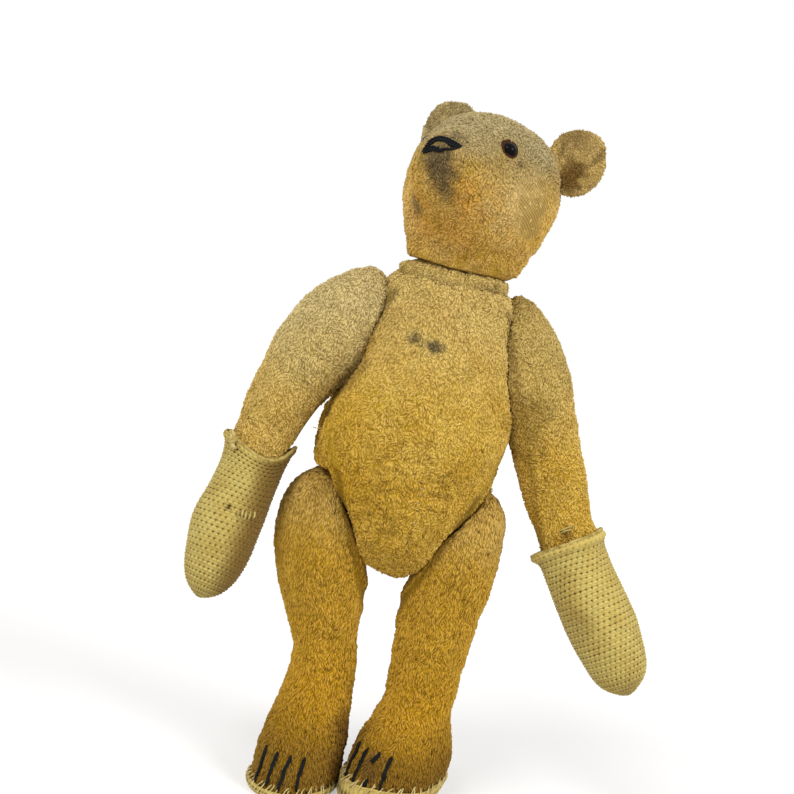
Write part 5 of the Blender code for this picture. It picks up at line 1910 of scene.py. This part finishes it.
def add_mending(trees):
    """Whitish seam stitches, loose ends, the darn and the knot on the right mitten."""
    random = np.random.default_rng(151)

    def laid(tree, *row):
        """Places straight behind these (across, up, lift) on a piece, from the front."""
        ahead = (0.0, 1.0, 0.0)
        return [ray_to(tree, (x, -90.0, z), ahead, lift)[0] for x, z, lift in row]

    def loose(tree, place, way, length):
        """A thread end that comes out of the cloth and curls."""
        hit, out = nearest_to(tree, place, -0.3)
        bend = random.normal(0.0, 0.35, 3)
        path = [hit]
        for t in np.linspace(0.2, 1.0, 5):
            off = out * (0.3 + 1.1 * math.sin(2.2 * t))
            path.append(hit + off + (np.array(way) + bend * t) * length * t)
        return path

    body = trees["body"]
    paths = []
    for z in SEAM_TOP:
        x = 5.2 + random.uniform(-0.4, 0.4)
        paths.append(laid(body, (x - 1.0, z + 0.2, -0.15), (x, z, 0.3), (x + 0.9, z - 0.1, -0.15)))
    for z in SEAM_LOW:
        x = 5.4 + random.uniform(-0.4, 0.4)
        paths.append(laid(body, (x, z + 1.2, -0.15), (x + 0.2, z, 0.35), (x, z - 1.2, -0.15)))
    for way, length in (((-0.7, -0.4, -0.5), 2.6), ((-0.6, -0.6, 0.2), 2.0)):
        paths.append(loose(body, (-40.0, -14.0, 149.0), way, length))
    pale = "pale_cotton_yarn"
    add_threads("seam_stitches", "torso", "worn_plush", pale, paths, 0.24, step=0.4)

    paths = [loose(trees["head"], *end) for end in CHIN_ENDS]
    add_threads("chin_frays", "head", "pale_plush", pale, paths, 0.2, step=0.4)

    arm = trees["left_arm"]
    paths = [laid(arm, *row) for row in SLEEVE_LOOPS]
    paths.append(loose(arm, (80.0, -12.0, 125.5), (0.9, -0.2, 0.5), 2.8))
    paths.append(loose(arm, (79.0, -12.0, 124.5), (0.9, -0.1, 0.0), 2.2))
    yarn = "ecru_edge_yarn"
    add_threads("left_sleeve_frays", "left_arm", "worn_plush", yarn, paths, 0.32, step=0.4)

    paths = []
    for k in range(5):
        x, z = -64.4 + 1.5 * k, 110.2 + 0.3 * math.sin(2.0 * k)
        down = ((x + 0.1, z + 1.7, -0.3), (x, z + 1.0, 0.5))
        up = ((x - 0.1, z - 0.6, 0.6), (x - 0.2, z - 1.5, -0.3))
        paths.append(laid(trees["right_mitten"], *down, *up))
    cotton = ("right_arm", "crochet_cotton")
    add_threads("right_mitten_darn", *cotton, yarn, paths, 0.48, step=0.4)
    paths = [KNOT_AT + np.array(row) for row in KNOT]
    lay = {"plies": 2, "twist": 2.6, "step": 0.6}
    add_threads("right_cuff_knot", *cotton, pale, paths, 0.8, **lay)


# ---- settings ----------------------------------------------------------------------------------


def colour_setting(name, description, code):
    """A colour that a user may change."""
    ends = {"default": linear(code), "min": 0.0, "max": 1.0}
    return FloatVectorProperty(name=name, description=description, subtype="COLOR", **ends)


def length_setting(name, description, default, low, high):
    """A length in millimetres that a user may change."""
    return FloatProperty(
        name=name,
        description=description,
        default=default * MM,
        min=low * MM,
        max=high * MM,
        precision=5,
        unit="LENGTH",
    )


class BearSizes(bpy.types.PropertyGroup):
    """Sizes that change how worn and how full the bear looks."""

    pile: length_setting("Pile", "How far clumps of pile stand out", 0.62, 0.0, 1.5)
    curls: FloatProperty(
        name="Curls",
        description="Curls of pile on each square millimetre",
        default=0.64,
        min=0.0,
        max=2.0,
    )
    swell: length_setting("Swell", "The furthest that stuffing swells a cover", 0.9, 0.0, 1.5)


class BearFinish(bpy.types.PropertyGroup):
    """Colours and scales of the bear's cloth, yarn and buttons."""

    curl_size: length_setting("Curl size", "Width of one curl of pile", 0.85, 0.3, 3.0)
    gold: colour_setting("Gold", "Mohair on the chest and arms", "#e0be5e")
    gold_deep: colour_setting("Deep gold", "Patches between the paler ones", "#d4ac48")
    amber: colour_setting("Amber", "Mohair on the legs and lower arms", "#cb9c1c")
    # painted light: the belly's amber is brighter than the limbs' amber, standing in for light on
    # the low belly, which faces down
    painted_light_belly_amber: colour_setting("Belly amber", "Mohair low on the belly", "#d6a620")
    head_gold: colour_setting("Head gold", "Mohair on the head", "#e2ba68")
    head_amber: colour_setting(
        "Cheek amber", "Mohair where the cheeks keep their colour", "#e6b052"
    )
    faded: colour_setting("Faded", "Mohair that the light has faded", "#d9c892")
    backing: colour_setting("Backing", "Woven cotton under the pile", "#b4944e")
    backing_dark: colour_setting("Backing gaps", "Between the backing's threads", "#664a22")
    # the grime colour paints handling dirt, and painted shade in the collar's groove, the ears'
    # fold valleys and atop the left arm
    grime_and_shade: colour_setting("Grime", "Handling dirt", "#615440")
    # the crease colour is painted shade in the pile's creases, at the joints, under the arms and on
    # the feet; on the ears it also gives a real rust stain
    crease: colour_setting("Crease", "Old dirt deep in the creases", "#5c3a0e")
    cotton: colour_setting("Cotton", "Crochet yarn", "#d6c26e")
    cotton_deep: colour_setting("Deep cotton", "Yellower patches of yarn", "#c4aa58")
    # the soiled cotton colour paints handled yarn, and painted shade on the right mitten's shaded
    # side
    cotton_grime_and_shade: colour_setting("Soiled cotton", "Handled yarn", "#86692a")
    # the hole colour is painted shade in the holes and gaps between stitches
    hole: colour_setting("Holes", "The dark between stitches", "#513c12")
    button: colour_setting("Button", "Japanned boot button", "#0a0a0c")
    rust: colour_setting("Rust", "Rubbed ring round an eye", "#54321f")
    rust_dark: colour_setting("Dark rust", "The ring's shadows", "#24160e")


# ---- operators ---------------------------------------------------------------------------------


def plush_finish(slot, kind):
    """The slot and the names of the two materials of one kind of plush."""
    return slot, f"{kind}_mohair_plush", f"{kind}_mohair_curls"


HIDDEN_FINISHES = {
    "disc": "pressed_card",
    "washer": "dull_mild_steel",
    "pin": "dull_mild_steel",
    "stuffing": "packed_wood_wool",
}


class BEAR_OT_finishes(bpy.types.Operator):
    """Make the cloth, yarn, thread, card and steel, and finish the frame's hidden parts"""

    bl_idname = "bear.finishes"
    bl_label = "Finishes"

    def execute(self, context):
        finish = context.scene.bear_finish
        for kind, gold, amber in (
            ("golden", finish.gold, finish.amber),
            # the belly's plush is a lighter copy of the golden plush, painted light on the
            # downward-facing belly
            ("belly", finish.gold, finish.painted_light_belly_amber),
            ("rubbed", finish.head_gold, finish.head_amber),
        ):
            plush_material(f"{kind}_mohair_plush", finish, gold, amber)
            curl_material(f"{kind}_mohair_curls", finish, gold, amber)
        crochet_material("ecru_crochet_cotton", finish)
        thread_material("black_mercerised_thread", "#050608", "#14181c", 0.6)
        thread_material("ecru_edge_yarn", "#8d7736", "#d6c27a", 0.85)
        thread_material("pale_cotton_yarn", "#b39a55", "#e6d79b", 0.85)
        button_material("japanned_button", finish)
        felt_material("rusty_rubbed_plush", finish)
        card_material("pressed_card")
        steel_material("dull_mild_steel")
        wood_wool_material("packed_wood_wool")
        for name, part in frame["nodes"].items():
            hidden = HIDDEN_FINISHES.get(name.split("_")[-1])
            if hidden:
                part.data.materials.clear()
                part.data.materials.append(bpy.data.materials[hidden])
        return {"FINISHED"}


class BEAR_OT_body(bpy.types.Operator):
    """Make the body's plush cover, with its gathered neck"""

    bl_idname = "bear.body"
    bl_label = "Body"

    def execute(self, context):
        joints = [(joint, False) for joint in PRESSED]
        finish = plush_finish("worn_plush", "belly")

        def fine(places):
            """Closer rings at the hips' corner and at the gathered neck."""
            z = places[:, 2]
            return 1.0 + 1.1 * bump(z, 134.0, 8.0) + 1.1 * smooth_step(207.0, 214.0, z)

        add_cover("body_cover", "torso", BODY_KNOTS, (50, 46), joints, finish, 11, body_marks, fine)
        add_stuffing("body_stuffing", "torso")
        return {"FINISHED"}


class BEAR_OT_head(bpy.types.Operator):
    """Make the head, its ears, button eyes and stitched nose"""

    bl_idname = "bear.head"
    bl_label = "Head"

    def execute(self, context):
        finish = plush_finish("pale_plush", "rubbed")
        joints = [("neck", True)]
        head = add_cover("head_cover", "head", HEAD_KNOTS, (46, 33), joints, finish, 21, head_marks)
        add_stuffing("head_stuffing", "head")
        tree = tree_of(head)
        for side in ("right", "left"):
            add_ear(side, tree)
            add_eye(side, tree)
        add_nose(tree)
        return {"FINISHED"}


class BEAR_OT_arms(bpy.types.Operator):
    """Make both arms and their crocheted mittens"""

    bl_idname = "bear.arms"
    bl_label = "Arms"

    def execute(self, context):
        finish = plush_finish("worn_plush", "golden")
        for side, seed in (("right", 31), ("left", 41)):

            def fine(places, side=side):
                """Fewer rings where the mitten hides the arm."""
                return 0.3 + 0.7 * smooth_step(-11.0, -8.0, up_arm(places, side))

            arm = f"{side}_arm"
            shape = (ARM_KNOTS[side], (28, 35), [(f"{side}_shoulder", True)])
            add_cover(f"{arm}_cover", arm, *shape, finish, seed, arm_marks(side), fine)
            add_stuffing(f"{arm}_stuffing", arm)
            add_mitten(side)
        return {"FINISHED"}


class BEAR_OT_legs(bpy.types.Operator):
    """Make both legs, their claws and their crocheted soles"""

    bl_idname = "bear.legs"
    bl_label = "Legs"

    def execute(self, context):
        finish = plush_finish("worn_plush", "golden")
        for side, seed in (("right", 51), ("left", 61)):
            leg = f"{side}_leg"
            shape = (LEG_KNOTS[side], (33, 38), [(f"{side}_hip", True)])
            tree = tree_of(add_cover(f"{leg}_cover", leg, *shape, finish, seed, leg_marks(side)))
            add_stuffing(f"{leg}_stuffing", leg)
            add_claws(side, tree)
            add_sole(side, tree)
        return {"FINISHED"}


class BEAR_OT_mending(bpy.types.Operator):
    """Sew the seam stitches, the loose ends, the darn and the cuff's knot"""

    bl_idname = "bear.mending"
    bl_label = "Mending"

    def execute(self, context):
        names = {
            "body": "body_plush",
            "head": "head_plush",
            "left_arm": "left_arm_plush",
            "right_mitten": "right_mitten_crochet",
        }
        add_mending({key: tree_of(bpy.data.objects[name]) for key, name in names.items()})
        return {"FINISHED"}


CAMERA_AT = Vector((-26.5, -595.0, 210.0)) * MM
CAMERA_SEES = Vector((-26.5, 5.0, 167.0)) * MM
CAMERA_LEAN = 12.0  # how far the camera leans to one side, in degrees
VIEW_ANGLE = 31.07  # how wide the camera sees, in degrees
FLOOR_HALF = 6.0  # half the floor's width, in metres
WHITE, BLACK = (1.0, 1.0, 1.0), (0.0, 0.0, 0.0)
# the two lamps: how strong each is, and which way it shines
SUNS = (("key", 1.5, (0.55, 0.8, -1.0)), ("fill", 1.3, (-0.95, 0.6, -0.8)))


class BEAR_OT_stage(bpy.types.Operator):
    """Set the white floor, the soft light and the camera"""

    bl_idname = "bear.stage"
    bl_label = "Stage"

    def execute(self, context):
        scene = context.scene
        ahead = (CAMERA_SEES - CAMERA_AT).normalized()
        right = ahead.cross(Vector((0.0, 0.0, 1.0))).normalized()
        up = right.cross(ahead)
        lean = math.radians(CAMERA_LEAN)
        x_axis = right * math.cos(lean) + up * math.sin(lean)
        y_axis = up * math.cos(lean) - right * math.sin(lean)
        place = Matrix((x_axis, y_axis, -ahead)).transposed().to_4x4()
        place.translation = CAMERA_AT
        lens = bpy.data.cameras.new("camera")
        lens.sensor_width = 36.0
        lens.lens = 18.0 / math.tan(math.radians(VIEW_ANGLE / 2.0))
        lens.clip_start, lens.clip_end = 0.01, 50.0
        camera = new_object("camera", lens)
        camera.matrix_world = place
        scene.camera = camera

        bm = bmesh.new()
        bmesh.ops.create_grid(bm, x_segments=1, y_segments=1, size=FLOOR_HALF)
        floor = new_object("floor", new_mesh("floor", bm))
        # matt white paper, which the camera sees as white as the room
        tree = new_material("white_paper_sweep")
        seen = node(tree, "LightPath").outputs["Is Camera Ray"]
        dull = node(tree, "MapRange", (seen, 0.0, 1.0, 0.8, 0.6))
        matt = node(tree, "BsdfDiffuse", {"Color": dull})
        glow = node(tree, "Emission", {"Color": WHITE, "Strength": 0.42})
        none = node(tree, "Emission", {"Color": BLACK, "Strength": 0.0})
        glow = node(tree, "MixShader", (seen, none, glow))
        node(tree, "OutputMaterial", {"Surface": node(tree, "AddShader", (matt, glow))})
        floor.data.materials.append(bpy.data.materials["white_paper_sweep"])

        world = bpy.data.worlds.new("soft_room")
        scene.world = world
        world.use_nodes = True
        tree = world.node_tree
        tree.nodes.clear()
        path = node(tree, "LightPath").outputs
        plain = path["Is Camera Ray"]
        for ray in ("Is Glossy Ray", "Is Transmission Ray"):
            plain = node(tree, "Math", (plain, path[ray]), operation="MAXIMUM")
        strength = node(tree, "MapRange", (plain, 0.0, 1.0, 0.55, 1.0))
        sky = node(tree, "Background", {"Color": WHITE, "Strength": strength})
        node(tree, "OutputWorld", {"Surface": sky})

        for name, power, way in SUNS:
            lamp = bpy.data.lights.new(name, "SUN")
            lamp.energy = power
            lamp.angle = math.radians(26.0)
            lamp.color = (1.0, 0.985, 0.96)
            sun = new_object(name, lamp)
            sun.rotation_euler = Vector(way).to_track_quat("-Z", "Y").to_euler()

        scene.view_settings.view_transform = "Standard"
        return {"FINISHED"}


STEPS = (
    BEAR_OT_finishes,
    BEAR_OT_body,
    BEAR_OT_head,
    BEAR_OT_arms,
    BEAR_OT_legs,
    BEAR_OT_mending,
    BEAR_OT_stage,
)


class BEAR_PT_panel(bpy.types.Panel):
    """The bear's pieces, sizes and colours"""

    bl_idname = "BEAR_PT_panel"
    bl_label = "Threadbare Bear"
    bl_space_type = "VIEW_3D"
    bl_region_type = "UI"
    bl_category = "Bear"

    def draw(self, context):
        for step in STEPS:
            self.layout.operator(step.bl_idname)
        for settings in (context.scene.bear_sizes, context.scene.bear_finish):
            box = self.layout.box()
            for name in settings.__annotations__:
                box.prop(settings, name)


CLASSES = (BearSizes, BearFinish, *STEPS, BEAR_PT_panel)


def register():
    """Add the classes and the bear's settings."""
    for made in CLASSES:
        bpy.utils.register_class(made)
    bpy.types.Scene.bear_sizes = PointerProperty(type=BearSizes)
    bpy.types.Scene.bear_finish = PointerProperty(type=BearFinish)


def unregister():
    """Take the settings and the classes away again."""
    del bpy.types.Scene.bear_finish
    del bpy.types.Scene.bear_sizes
    for made in reversed(CLASSES):
        bpy.utils.unregister_class(made)


def main():
    """Make the bear and its stage."""
    register()
    for step in STEPS:
        group, name = step.bl_idname.split(".")
        getattr(getattr(bpy.ops, group), name)()


if __name__ == "__main__":
    main()
